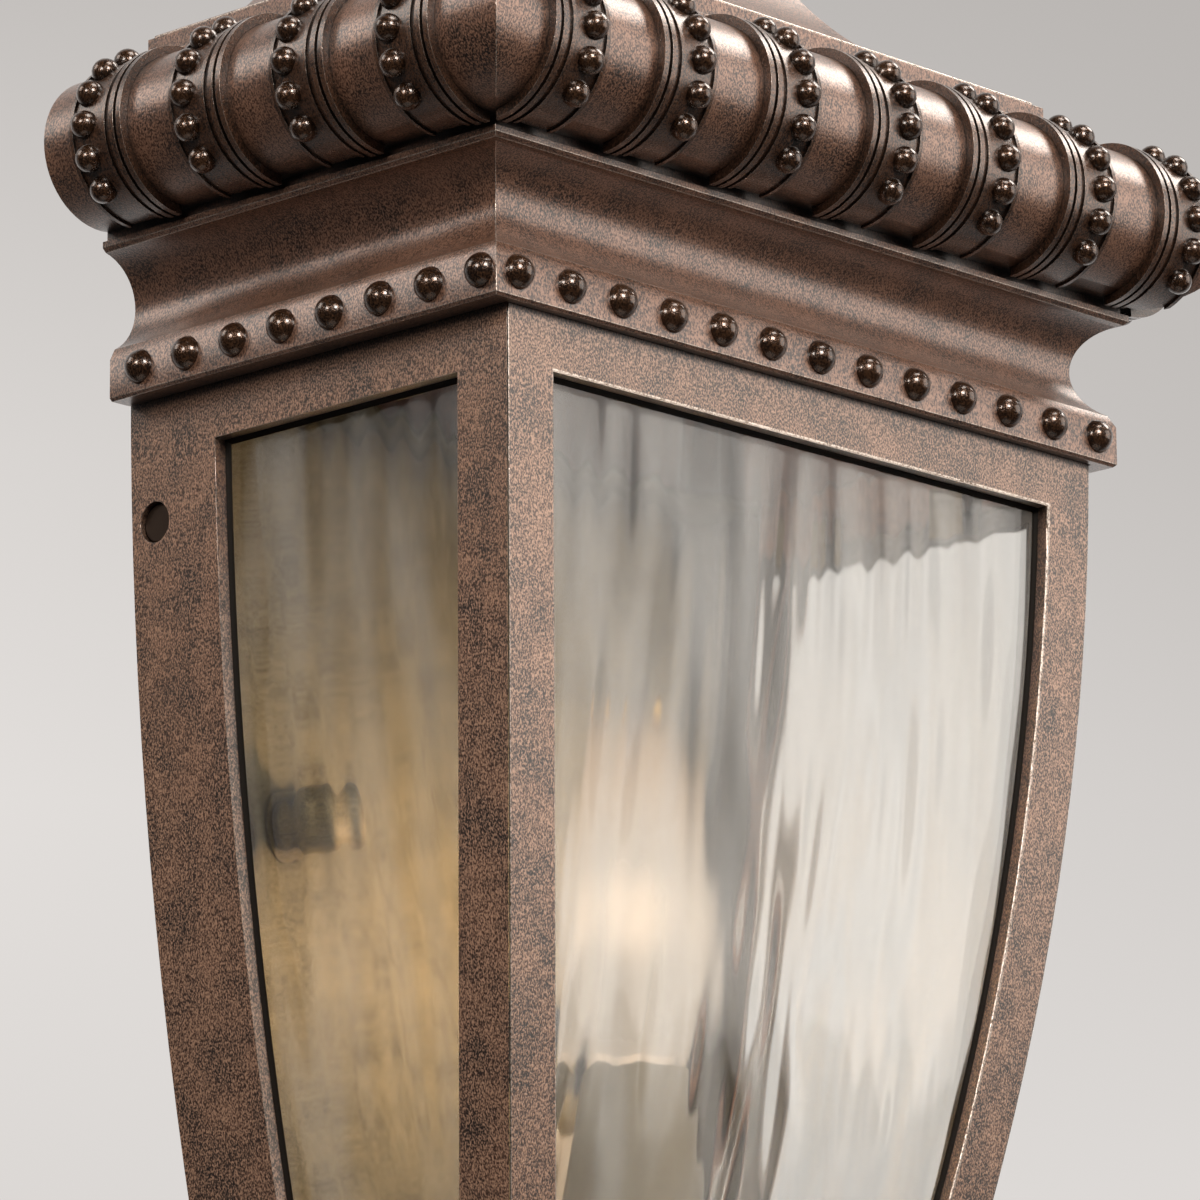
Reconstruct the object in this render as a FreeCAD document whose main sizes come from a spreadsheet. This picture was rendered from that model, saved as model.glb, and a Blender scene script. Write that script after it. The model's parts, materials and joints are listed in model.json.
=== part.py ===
import FreeCAD, Part
import math
import os
import Sketcher

# Half lantern for an outside wall. The origin is on the wall, midway between the two fixing knobs.
# +X is to the right of someone facing the wall, the lantern stands out along -Y, and +Z is up.
# A half width is measured from the middle plane, a projection from the wall.

SIZES = [
    # Tapering cage
    ("body_half_width", 84.4, "cage side at the crown"),
    ("body_projection", 103.9, "cage front at the crown"),
    ("body_radius", 812.0, "curve of the cage sides and front"),
    ("body_crown_height", 88.6, "height where the cage stands upright"),
    ("frame_top", 85.8, "upper end of the window frames"),
    ("frame_bottom", -130.0, "lower end of the window frames"),
    ("frame_thickness", 5.0, "wall of the window frames"),
    ("front_stile", 12.6, "width of the front frame's uprights"),
    ("side_stile", 13.2, "width of the side frames' front uprights"),
    ("rear_stile", 24.0, "width of the side frames' rear uprights"),
    ("top_rail", 17.3, "frame above the windows"),
    ("bottom_rail", 17.0, "frame below the windows"),
    ("seam_gap", 0.1, "half gap in the mitred corners"),
    ("rebate_depth", 1.7, "step behind the windows that a pane lies in"),
    ("glass_thickness", 3.0, "pane"),
    ("glass_lap", 4.0, "how far a pane reaches behind its frame"),
    ("glass_gap", 0.2, "pane to frame, and pane to clip"),
    ("clip_sheet", 1.0, "thickness of a pane clip"),
    ("clip_width", 8.0, "width of a pane clip"),
    ("clip_foot", 6.0, "length of a clip's foot on the frame"),
    ("clip_tab", 4.0, "length of a clip's tab on the pane"),
    ("clip_spread_top", 45.0, "upper front clips from the middle"),
    ("clip_spread_bottom", 25.0, "lower front clips from the middle"),
    ("clip_rear_distance", 36.0, "rear side clips from the wall"),
    ("clip_top_distance", 72.0, "upper front side clips from the wall"),
    ("clip_bottom_distance", 56.0, "lower front side clips from the wall"),
    # Cornice
    ("strip_proud", 5.6, "face of the side strips outside the cage"),
    ("strip_front_proud", 2.7, "face of the front strip outside the cage"),
    ("strip_lap", 6.5, "bead strip below the top of the frames"),
    ("strip_height", 10.8, "bead strip"),
    ("strip_bevel", 0.6, "lower bevel of the bead strip"),
    ("strip_slope_height", 2.4, "sloping top of the bead strip"),
    ("strip_slope_depth", 1.2, "slope of the strip's top, inwards"),
    ("cove_depth", 6.6, "deepest line of the cove behind the strip"),
    ("cove_radius", 10.4, "hollow of the cove"),
    ("ledge_proud", 2.2, "ledge under the roll, outside the strip"),
    ("ledge_height", 2.1, "ledge under the roll"),
    ("ledge_bevel", 0.8, "lower edge of the ledge"),
    ("neck_depth", 1.2, "groove above the ledge, behind its face"),
    ("neck_height", 2.2, "groove between the ledge and the roll"),
    ("roll_proud", 2.8, "centre of the roll outside the strip"),
    ("roll_radius", 15.2, "roll"),
    ("lower_step_back", 10.3, "lower step behind the roll's centre"),
    ("lower_step_height", 7.5, "lower step under the roof"),
    ("upper_step_back", 2.0, "upper step behind the lower step"),
    ("upper_step_height", 4.5, "upper step under the roof"),
    ("casting_wall", 4.3, "wall of the hollow castings"),
    ("back_web", 2.5, "thin wall at the back of the castings"),
    ("fit_gap", 0.3, "castings round the frames, and cage to back plate"),
    # Straps and beads
    ("strap_count", 7, "straps on the front"),
    ("strap_margin", 4.3, "outer front straps from the roll's corner"),
    ("side_strap_count", 4, "straps on each side"),
    ("side_strap_margin", 8.5, "first side strap from the roll's corner"),
    ("side_strap_setout", 16.6, "last side strap from the wall"),
    ("strap_offset", 2.1, "front straps to the right of the middle"),
    ("strap_width", 15.1, "strap along the roll"),
    ("strap_thickness", 0.9, "strap on the roll"),
    ("strap_seat_gap", 0.05, "strap to roll"),
    ("strap_angle", 178.0, "turn round the roll, from its top"),
    ("rib_width", 1.3, "each of the two ribs of a strap"),
    ("rib_space", 0.8, "groove between the two ribs"),
    ("rib_height", 1.0, "rib above its strap"),
    ("line_space", 1.7, "flat between the ribs and the fine line beside the beads"),
    ("line_width", 0.9, "fine lines on either side of the beads"),
    ("line_height", 0.5, "fine lines above their strap"),
    ("strap_bead_radius", 2.85, "bead on a strap"),
    ("strap_bead_rise", 2.9, "bead above its strap"),
    ("strap_bead_shift", 3.55, "bead row from the middle of its strap"),
    ("strap_bead_count", 6, "beads on a strap"),
    ("strap_bead_top_angle", 72.0, "highest bead above level"),
    ("strap_bead_step_angle", 23.8, "from bead to bead round the roll"),
    ("strip_bead_radius", 3.5, "bead on the strip"),
    ("strip_bead_rise", 5.2, "bead above the strip"),
    ("strip_bead_count", 13, "beads on the front strip"),
    ("strip_bead_margin", 6.0, "outer front beads from the strip's corner"),
    ("side_bead_count", 8, "beads on each side strip"),
    ("side_bead_rear", 8.6, "last side bead from the wall"),
    ("side_bead_setback", 4.2, "first side bead behind the front strip's face"),
    # Roof
    ("eave_back", 1.5, "lower edge of the roof behind the upper step"),
    ("eave_height", 1.2, "upright edge of the roof"),
    ("roof_flare_radius", 50.0, "hollow sweep of the roof above the eaves"),
    ("roof_dome_radius", 46.4, "full sweep of the roof above the flare"),
    ("roof_eave_angle", 9.6, "slope at the eaves"),
    ("roof_turn_angle", 63.0, "steepest slope"),
    ("roof_top_angle", 20.0, "slope at the top"),
    ("roof_wall", 2.5, "roof shell"),
    ("cap_overhang", 2.0, "cap beyond the top of the roof"),
    ("cap_height", 4.0, "lower block of the cap"),
    ("cap_bevel", 2.5, "slope of the cap"),
    ("cap_neck", 3.0, "upper block of the cap"),
    ("finial_foot_radius", 12.0, "foot of the top finial"),
    ("finial_foot_height", 3.0, "foot of the top finial"),
    ("finial_ball_angle", 58.0, "where the ball meets its neck and its spire"),
    ("finial_neck_height", 5.0, "neck of the top finial"),
    ("finial_ball_radius", 10.5, "ball of the top finial"),
    ("finial_spire", 16.0, "spire above the ball"),
    # Base
    ("base_skirt", 6.0, "base lip up the frames"),
    ("base_lip", 3.0, "base lip outside the frames"),
    ("base_fillet", 1.5, "straight part of the lip below the frames"),
    ("base_step", 3.0, "step under the lip"),
    ("base_ovolo_radius", 10.0, "round moulding"),
    ("base_ring_step", 2.5, "step under the round moulding"),
    ("base_cavetto_radius", 22.0, "hollow moulding"),
    ("base_foot_height", 3.0, "lowest block of the base"),
    ("base_seat", 5.0, "ledge inside that the frames stand on"),
    ("base_hollow_depth", 9.0, "hollow inside the base"),
    ("drop_foot_radius", 14.0, "foot of the bottom finial"),
    ("drop_foot_height", 4.0, "foot of the bottom finial"),
    ("drop_ball_angle", 58.0, "where the ball meets its neck and its tip"),
    ("drop_neck_height", 4.0, "neck of the bottom finial"),
    ("drop_ball_radius", 11.5, "ball of the bottom finial"),
    ("drop_tip", 9.0, "tip below the ball"),
    # Back plate and its fixings
    ("plate_gap", 0.6, "back plate to frames"),
    ("plate_sheet", 2.0, "sheet of the back plate"),
    ("plate_depth", 14.0, "flange of the back plate"),
    ("gasket_thickness", 1.5, "foam pad on the wall"),
    ("gasket_margin", 4.0, "foam pad inside the plate's edge"),
    ("box_spacing", 88.9, "between the two fixing knobs"),
    ("stud_hole_radius", 3.2, "plate and pad hole for a wall stud"),
    ("washer_radius", 7.0, "washer under a knob"),
    ("washer_thickness", 1.0, "washer under a knob"),
    ("knob_bore_radius", 2.5, "threaded hole of a knob"),
    ("knob_bore_depth", 12.5, "threaded hole of a knob"),
    ("knob_collar_radius", 4.8, "collar of a knob"),
    ("knob_collar_length", 4.5, "collar of a knob"),
    ("knob_head_radius", 6.6, "head of a knob"),
    ("knob_head_length", 9.0, "straight part of the head"),
    ("knob_crown", 4.9, "rounded end of the head"),
    ("cable_offset", 22.0, "cable hole to the right of the middle"),
    ("cable_height", -35.0, "cable hole"),
    ("cable_hole_radius", 7.0, "cable hole in the plate"),
    ("bush_bore_radius", 4.0, "hole through the cable bush"),
    ("bush_flange", 2.4, "flanges of the cable bush beyond the hole"),
    ("bush_flange_thickness", 1.2, "flanges of the cable bush"),
    ("block_offset", 34.0, "terminal block to the right of the middle"),
    ("block_height", -70.0, "lower face of the terminal block"),
    ("block_width", 24.0, "terminal block"),
    ("block_tall", 16.0, "terminal block"),
    ("block_deep", 12.0, "terminal block"),
    ("block_pitch", 7.0, "wells of the terminal block"),
    ("well_radius", 2.4, "screw well of the terminal block"),
    ("well_depth", 6.0, "screw well of the terminal block"),
    ("earth_offset", 48.0, "earth screw to the right of the middle"),
    ("earth_height", 40.0, "earth screw"),
    ("screw_head_radius", 4.0, "earth and bracket screws"),
    ("screw_head_height", 2.4, "earth and bracket screws"),
    ("screw_radius", 2.0, "earth and bracket screws"),
    ("screw_hole_gap", 0.1, "screws in their holes"),
    ("lock_height", 54.8, "locking screws"),
    ("lock_setout", 6.5, "locking screws from the wall"),
    ("lock_head_radius", 3.8, "locking screw"),
    ("lock_recess", 1.0, "locking screw's head below the frame's face"),
    ("lock_head_height", 1.6, "locking screw"),
    ("lock_radius", 2.0, "locking screw"),
    # Lamp
    ("lamp_setout", 53.0, "lamp axis from the wall"),
    ("arm_rise", 26.0, "upper face of the lamp arm above the frames' lower end"),
    ("arm_width", 24.0, "lamp arm"),
    ("arm_sheet", 2.0, "lamp arm"),
    ("arm_nose", 12.0, "lamp arm beyond the lamp axis"),
    ("arm_foot", 32.0, "foot of the lamp arm on the plate"),
    ("foot_screw_rise", 10.0, "lower bracket screw above the arm"),
    ("foot_screw_pitch", 14.0, "between the two bracket screws"),
    ("nipple_radius", 5.0, "hollow threaded tube"),
    ("nipple_bore_radius", 3.4, "hollow threaded tube"),
    ("nipple_length_up", 8.0, "tube above the arm"),
    ("nipple_length_down", 8.0, "tube below the arm's upper face"),
    ("nut_across", 15.0, "nut under the arm, corner to corner"),
    ("nut_height", 3.0, "nut under the arm"),
    ("holder_radius", 11.0, "lamp holder"),
    ("holder_height", 36.0, "lamp holder"),
    ("holder_well", 24.0, "depth of the holder's socket"),
    ("cap_radius", 7.0, "screw cap of the bulb"),
    ("cap_length", 25.5, "screw cap of the bulb"),
    ("cap_gap", 0.3, "screw cap in its socket"),
    ("sleeve_radius", 13.0, "candle sleeve"),
    ("sleeve_wall", 1.4, "candle sleeve"),
    ("sleeve_height", 54.0, "candle sleeve"),
    ("bulb_neck_radius", 8.0, "bulb at its cap"),
    ("bulb_throat_radius", 9.5, "bulb where it starts to swell"),
    ("bulb_throat", 17.0, "height of the bulb's neck"),
    ("bulb_radius", 17.5, "bulb"),
    ("bulb_swell", 21.0, "from the neck to the widest line"),
    ("bulb_taper", 58.0, "from the widest line to the tip"),
    ("bulb_tip_radius", 2.0, "blunt tip"),
    ("bulb_wall", 0.8, "bulb"),
    ("lead_radius", 1.1, "insulated lead"),
    ("lead_spacing", 2.8, "leads side by side in the tube"),
    ("lead_drop", 14.0, "leads below the arm"),
    ("lead_bend", 6.0, "bends of the leads"),
    # Working allowances
    ("overcut", 1.0, "cutters past the faces they open"),
]

doc = FreeCAD.newDocument("half_lantern")
sheet = doc.addObject("Spreadsheet::Sheet", "Sizes")


class Size:
    """A number together with the sheet expression that gives it."""

    def __init__(self, value, text):
        self.value = value
        self.text = text

    def __add__(self, other):
        other = as_size(other)
        return Size(self.value + other.value, "(%s + %s)" % (self.text, other.text))

    def __sub__(self, other):
        other = as_size(other)
        return Size(self.value - other.value, "(%s - %s)" % (self.text, other.text))

    def __mul__(self, other):
        other = as_size(other)
        return Size(self.value * other.value, "(%s * %s)" % (self.text, other.text))

    def __truediv__(self, other):
        other = as_size(other)
        return Size(self.value / other.value, "(%s / %s)" % (self.text, other.text))

    def __neg__(self):
        return Size(-self.value, "(-1 * %s)" % self.text)

    def __radd__(self, other):
        return as_size(other) + self

    def __rsub__(self, other):
        return as_size(other) - self

    def __rmul__(self, other):
        return as_size(other) * self


def as_size(number):
    return number if isinstance(number, Size) else Size(float(number), "%g" % number)


def root(square):
    return Size(math.sqrt(square.value), "sqrt(%s)" % square.text)


def sine(angle):
    return Size(math.sin(math.radians(angle.value)), "sin(%s)" % angle.text)


def cosine(angle):
    return Size(math.cos(math.radians(angle.value)), "cos(%s)" % angle.text)


class Named:
    """Holds every size of the sheet under its own name."""


S = Named()
for row, (alias, value, note) in enumerate(SIZES, start=1):
    sheet.set("A%d" % row, alias)
    sheet.set("B%d" % row, "%g" % value)
    sheet.set("C%d" % row, note)
    sheet.setAlias("B%d" % row, alias)
    setattr(S, alias, Size(float(value), "Sizes.%s" % alias))
doc.recompute()

ZERO = as_size(0)

# Sizes that follow from others
S.window_top = S.frame_top - S.top_rail
S.window_bottom = S.frame_bottom + S.bottom_rail
S.strip_half_width = S.body_half_width + S.strip_proud
S.strip_projection = S.body_projection + S.strip_front_proud
S.strip_bottom = S.frame_top - S.strip_lap
S.cove_half_width = S.strip_half_width - S.cove_depth
S.ledge_half_width = S.strip_half_width + S.ledge_proud
S.roll_half_width = S.strip_half_width + S.roll_proud
S.roll_projection = S.strip_projection + S.roll_proud
S.lower_step_half_width = S.roll_half_width - S.lower_step_back
S.upper_step_half_width = S.lower_step_half_width - S.upper_step_back
S.eave_half_width = S.upper_step_half_width - S.eave_back
S.strap_pitch = 2 * (S.roll_half_width - S.strap_margin) / (S.strap_count - 1)
S.first_strap = S.strap_offset - S.strap_pitch * (S.strap_count - 1) / 2
S.side_strap_run = S.roll_projection - S.side_strap_margin - S.side_strap_setout
S.side_strap_pitch = S.side_strap_run / (S.side_strap_count - 1)
S.strip_bead_pitch = 2 * (S.strip_half_width - S.strip_bead_margin) / (S.strip_bead_count - 1)
S.side_bead_pitch = (S.strip_projection - S.side_bead_setback - S.side_bead_rear) / (S.side_bead_count - 1)
S.arm_height = S.frame_bottom + S.arm_rise

FAR = 4 * S.strip_projection
X_AXIS = FreeCAD.Vector(1, 0, 0)
Y_AXIS = FreeCAD.Vector(0, 1, 0)
Z_AXIS = FreeCAD.Vector(0, 0, 1)
PLANES = {
    "XY": FreeCAD.Rotation(X_AXIS, Y_AXIS, Z_AXIS),
    "XZ": FreeCAD.Rotation(X_AXIS, Z_AXIS, -Y_AXIS),
    "YZ": FreeCAD.Rotation(Y_AXIS, Z_AXIS, X_AXIS),
}
FORWARD = FreeCAD.Rotation(X_AXIS, 90)
RIGHTWARD = FreeCAD.Rotation(Y_AXIS, 90)
nodes = []


# Helpers

def bind(obj, prop, size):
    """Ties a property of an object to the sheet."""
    obj.setExpression(prop, as_size(size).text)


def place(obj, x=ZERO, y=ZERO, z=ZERO, rotation=None):
    """Puts an object at sizes from the origin."""
    if rotation:
        obj.Placement = FreeCAD.Placement(FreeCAD.Vector(), rotation)
    bind(obj, "Placement.Base.x", x)
    bind(obj, "Placement.Base.y", y)
    bind(obj, "Placement.Base.z", z)
    return obj


def add_outline(drawing, outline):
    """Draws a closed outline. A corner is (u, v), or (u, v, radius) where an arc leads to it.

    A positive radius turns left on the way to the corner, a negative one turns right.
    """
    points = [FreeCAD.Vector(as_size(c[0]).value, as_size(c[1]).value, 0) for c in outline]
    runs = []
    for index, corner in enumerate(outline):
        start = points[index - 1]
        end = points[index]
        if len(corner) == 2:
            runs.append((drawing.addGeometry(Part.LineSegment(start, end)), 1, 2))
            continue
        radius = abs(corner[2].value)
        half = (end - start) * 0.5
        left = FreeCAD.Vector(-half.y, half.x, 0).normalize()
        side = 1 if corner[2].value > 0 else -1
        centre = start + half + left * side * math.sqrt(radius ** 2 - half.Length ** 2)
        first, last = (start, end) if side > 0 else (end, start)
        turn = [math.atan2(p.y - centre.y, p.x - centre.x) for p in (first, last)]
        arc = Part.ArcOfCircle(Part.Circle(centre, Z_AXIS, radius), turn[0], turn[1])
        runs.append((drawing.addGeometry(arc), 1, 2) if side > 0 else (drawing.addGeometry(arc), 2, 1))
    for index, run in enumerate(runs):
        before = runs[index - 1]
        drawing.addConstraint(Sketcher.Constraint("Coincident", before[0], before[2], run[0], run[1]))
    for corner, run in zip(outline, runs):
        measures = (("DistanceX", -2, as_size(corner[0])), ("DistanceY", -1, as_size(corner[1])))
        for kind, axis, size in measures:
            if size.text == "0":
                drawing.addConstraint(Sketcher.Constraint("PointOnObject", run[0], run[2], axis))
                continue
            number = drawing.addConstraint(Sketcher.Constraint(kind, run[0], run[2], size.value))
            drawing.setExpression("Constraints[%d]" % number, size.text)
        if len(corner) == 3:
            radius = corner[2] if corner[2].value > 0 else -corner[2]
            number = drawing.addConstraint(Sketcher.Constraint("Radius", run[0], radius.value))
            drawing.setExpression("Constraints[%d]" % number, radius.text)


def sketch(name, plane, outline):
    drawing = doc.addObject("Sketcher::SketchObject", name)
    drawing.Placement = FreeCAD.Placement(FreeCAD.Vector(), PLANES[plane])
    add_outline(drawing, outline)
    return drawing


def extrude(name, plane, outline, ahead, behind=None):
    """Pulls an outline along its plane's normal, from behind to ahead; with no behind, both ways alike."""
    solid = doc.addObject("Part::Extrusion", name)
    solid.Base = sketch(name + "_outline", plane, outline)
    solid.DirMode = "Normal"
    solid.Solid = True
    bind(solid, "LengthFwd", ahead)
    bind(solid, "LengthRev", ahead if behind is None else -behind)
    return solid


def cylinder(name, radius, height, x=ZERO, y=ZERO, z=ZERO, rotation=None):
    solid = doc.addObject("Part::Cylinder", name)
    bind(solid, "Radius", radius)
    bind(solid, "Height", height)
    return place(solid, x, y, z, rotation)


def box(name, low, high):
    solid = doc.addObject("Part::Box", name)
    for prop, axis in (("Length", 0), ("Width", 1), ("Height", 2)):
        bind(solid, prop, high[axis] - low[axis])
    return place(solid, low[0], low[1], low[2])


def common(name, first, second):
    shared = doc.addObject("Part::Common", name)
    shared.Base = first
    shared.Tool = second
    return shared


def cut(name, base, *tools):
    """Takes each tool from the base in turn."""
    for number, tool in enumerate(tools, start=1):
        result = doc.addObject("Part::Cut", name if number == len(tools) else "%s_cut_%d" % (name, number))
        result.Base = base
        result.Tool = tool
        base = result
    return base


def fuse(name, *members):
    joined = doc.addObject("Part::MultiFuse", name)
    joined.Shapes = list(members)
    return joined


def group(name, *members):
    """Keeps separate solids together in one node."""
    several = doc.addObject("Part::Compound", name)
    several.Links = list(members)
    return several


def mirror(name, source):
    twin = doc.addObject("Part::Mirroring", name)
    twin.Source = source
    twin.Normal = X_AXIS
    return twin


def turned(name, outline, x=ZERO, y=ZERO, z=ZERO, rotation=None):
    """A body turned about its own upright axis from an outline of radius and height."""
    body = doc.addObject("PartDesign::Body", name)
    drawing = body.newObject("Sketcher::SketchObject", name + "_profile")
    plane = [f for f in body.Origin.OriginFeatures if f.Role == "XZ_Plane"][0]
    drawing.AttachmentSupport = (plane, [""])
    drawing.MapMode = "FlatFace"
    add_outline(drawing, outline)
    spun = body.newObject("PartDesign::Revolution", name + "_spun")
    spun.Profile = drawing
    spun.ReferenceAxis = (drawing, ["V_Axis"])
    spun.Angle = 360
    body.Tip = spun
    return place(body, x, y, z, rotation)


def ball(middle, radius, start, end, steps):
    """Corners on a ball, from one angle above level to another, for a turned outline."""
    corners = []
    for step in range(steps + 1):
        angle = start + (end - start) * step / steps
        corners.append((radius * cosine(angle), middle + radius * sine(angle)))
    return corners


def swell(first, last, rise, steps):
    """Corners from one radius and height to another on a quarter of an oval that leaves the first upright."""
    corners = []
    for step in range(1, steps + 1):
        angle = as_size(90 * step / steps)
        if rise:
            share = (sine(angle), 1 - cosine(angle))
        else:
            share = (1 - cosine(angle), sine(angle))
        corners.append((first[0] + (last[0] - first[0]) * share[0],
                        first[1] + (last[1] - first[1]) * share[1]))
    return corners


def node(obj, label):
    """Makes an object one of the lantern's pieces."""
    obj.Label = label
    nodes.append(obj)
    return obj


def both_sides(profile):
    """Front view of a profile that runs upwards on the right, with its twin on the left."""
    left = []
    for index in range(len(profile) - 1, -1, -1):
        arc = profile[index + 1][2:] if index + 1 < len(profile) else ()
        left.append((-profile[index][0], profile[index][1]) + tuple(arc))
    return list(profile) + left


def side_view(profile, offset, back):
    """Side view of a profile, at its half width plus the offset in front of the wall."""
    front = [(-(c[0] + offset), c[1]) + tuple(-r for r in c[2:]) for c in profile]
    return front + [(back, profile[-1][1]), (back, profile[0][1])]


def mitred(name, profile, offset, back=ZERO):
    """Solid that has the same profile on the front and on both sides, so that its corners are mitred."""
    front = extrude(name + "_front", "XZ", both_sides(profile), FAR)
    side = extrude(name + "_side", "YZ", side_view(profile, offset, back), FAR)
    return common(name, front, side)


def wedge(name, offset, gap):
    """Everything in front of the two mitre planes."""
    tip = -(offset + gap)
    return extrude(name, "XY", [(ZERO, tip), (-FAR, tip - FAR), (FAR, tip - FAR)], FAR)


# Tapering cage

frame_offset = S.body_projection - S.body_half_width
cornice_offset = S.strip_projection - S.strip_half_width
rebate_floor = S.frame_thickness - S.rebate_depth
glass_outer = rebate_floor + S.glass_gap
glass_inner = glass_outer + S.glass_thickness
glass_top = S.window_top + S.glass_lap
glass_bottom = S.window_bottom - S.glass_lap
shoulder_height = S.frame_top + S.fit_gap


def cage_half_width(inset, height):
    """Half width of the curved cage, or of a curve set inside it, at a height."""
    radius = S.body_radius - inset
    rise = S.body_crown_height - height
    return S.body_half_width - S.body_radius + root(radius * radius - rise * rise)


def cage_profile(inset, low, high):
    return [(cage_half_width(inset, low), low),
            (cage_half_width(inset, high), high, S.body_radius - inset)]


def shifted_profile(shift, low, high):
    """The cage's own curve, moved sideways."""
    return [(cage_half_width(ZERO, low) - shift, low),
            (cage_half_width(ZERO, high) - shift, high, S.body_radius)]


def curved_sheet(outer, inner, low, high, offset, side):
    """Outline of a curved sheet between two insets of the cage, on the right or, with side -1, the front."""
    rise = cage_profile(outer, low, high)
    fall = cage_profile(inner, low, high)
    corners = [rise[0], rise[1], fall[1][:2], fall[0] + (-(S.body_radius - inner),)]
    if side > 0:
        return corners
    return [(-(c[0] + offset), c[1]) + tuple(-r for r in c[2:]) for c in corners]


def front_pane(name, outer, inner, spare):
    """A curved pane behind the front window, between two insets, wider by spare all round."""
    low = glass_bottom - spare
    high = glass_top + spare
    sheet = extrude(name + "_sheet", "YZ", curved_sheet(outer, inner, low, high, frame_offset, -1), FAR)
    outline = both_sides(shifted_profile(S.front_stile - S.glass_lap - spare, low, high))
    return common(name, sheet, extrude(name + "_shape", "XZ", outline, FAR))


def side_pane(name, outer, inner, spare):
    """A curved pane behind the right window, between two insets, wider by spare all round."""
    low = glass_bottom - spare
    high = glass_top + spare
    sheet = extrude(name + "_sheet", "XZ", curved_sheet(outer, inner, low, high, frame_offset, 1), FAR)
    outline = side_view(shifted_profile(S.side_stile - S.glass_lap - spare, low, high),
                        frame_offset, S.glass_lap + spare - S.rear_stile)
    return common(name, sheet, extrude(name + "_shape", "YZ", outline, FAR))


def make_frames():
    outer = mitred("cage_outer", cage_profile(ZERO, S.frame_bottom, S.frame_top), frame_offset)
    inner = mitred("cage_inner", cage_profile(S.frame_thickness, S.frame_bottom - S.overcut,
                                              S.frame_top + S.overcut), frame_offset, S.overcut)
    front_window = extrude("front_window", "XZ",
                           both_sides(shifted_profile(S.front_stile, S.window_bottom, S.window_top)), FAR)
    side_window = extrude("side_window", "YZ",
                          side_view(shifted_profile(S.side_stile, S.window_bottom, S.window_top),
                                    frame_offset, -S.rear_stile), FAR)
    lock_half_width = cage_half_width(ZERO, S.lock_height)
    lock_hole = cylinder("lock_hole", S.lock_radius + S.screw_hole_gap, 2 * FAR, -FAR, -S.lock_setout,
                         S.lock_height, RIGHTWARD)
    lock_recess = cylinder("lock_recess", S.lock_head_radius + S.fit_gap, FAR,
                           lock_half_width - S.lock_recess - S.lock_head_height, -S.lock_setout,
                           S.lock_height, RIGHTWARD)
    rebate_mouth = S.frame_thickness + S.overcut
    front_rebate = front_pane("front_rebate", rebate_floor, rebate_mouth, S.glass_gap)
    side_rebate = side_pane("right_rebate", rebate_floor, rebate_mouth, S.glass_gap)
    walls = cut("cage_walls", outer, inner, front_window, side_window, lock_hole, lock_recess,
                mirror("lock_recess_twin", lock_recess), front_rebate, side_rebate,
                mirror("left_rebate", side_rebate))
    right_zone = [(S.seam_gap, -frame_offset), (S.seam_gap, FAR), (FAR, FAR),
                  (FAR, -frame_offset - FAR + S.seam_gap)]
    left_zone = [(-u, v) for u, v in right_zone]
    node(common("front_frame", walls, wedge("front_zone", frame_offset, S.seam_gap)), "front_frame")
    node(common("left_frame", walls, extrude("left_zone", "XY", left_zone, FAR)), "left_frame")
    node(common("right_frame", walls, extrude("right_zone", "XY", right_zone, FAR)), "right_frame")


def make_panes():
    node(front_pane("front_glass", glass_outer, glass_inner, ZERO), "front_glass")
    right = node(side_pane("right_glass", glass_outer, glass_inner, ZERO), "right_glass")
    node(mirror("left_glass", right), "left_glass")


def make_clips():
    """Small stepped tabs: a foot on the frame's inner face, and a tab over the pane's edge."""
    tab_outer = glass_inner + S.glass_gap
    tab_inner = tab_outer + S.clip_sheet
    low = S.frame_bottom
    high = S.frame_top
    core = mitred("clip_core", cage_profile(tab_inner, low - S.overcut, high + S.overcut),
                  frame_offset, S.overcut)
    foot_ring = cut("clip_foot_ring", mitred("clip_foot_skin", cage_profile(S.frame_thickness, low, high),
                                             frame_offset), core)
    tab_ring = cut("clip_tab_ring", mitred("clip_tab_skin", cage_profile(tab_outer, low, high),
                                           frame_offset), core)
    half = S.clip_width / 2
    top_foot = (glass_top + S.glass_gap, glass_top + S.glass_gap + S.clip_foot)
    low_foot = (glass_bottom - S.glass_gap - S.clip_foot, glass_bottom - S.glass_gap)
    top_tab = (glass_top - S.clip_tab, top_foot[1])
    low_tab = (low_foot[0], glass_bottom + S.clip_tab)
    rows = (("top", top_foot, top_tab, S.clip_spread_top, S.clip_top_distance),
            ("low", low_foot, low_tab, S.clip_spread_bottom, S.clip_bottom_distance))
    feet = []
    tabs = []
    for name, foot, tab, spread, setout in rows:
        for kind, span, store in (("foot", foot, feet), ("tab", tab, tabs)):
            for number, centre in enumerate((-spread, spread)):
                store.append(box("clip_%s_%s_front_%d" % (name, kind, number),
                                 (centre - half, -FAR, span[0]), (centre + half, ZERO, span[1])))
            for number, centre in enumerate((-S.clip_rear_distance, -setout)):
                store.append(box("clip_%s_%s_side_%d" % (name, kind, number),
                                 (-FAR, centre - half, span[0]), (FAR, centre + half, span[1])))
    node(fuse("pane_clips", common("clip_feet", foot_ring, group("clip_foot_zones", *feet)),
              common("clip_tabs", tab_ring, group("clip_tab_zones", *tabs))), "pane_clips")


# Cornice

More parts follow.
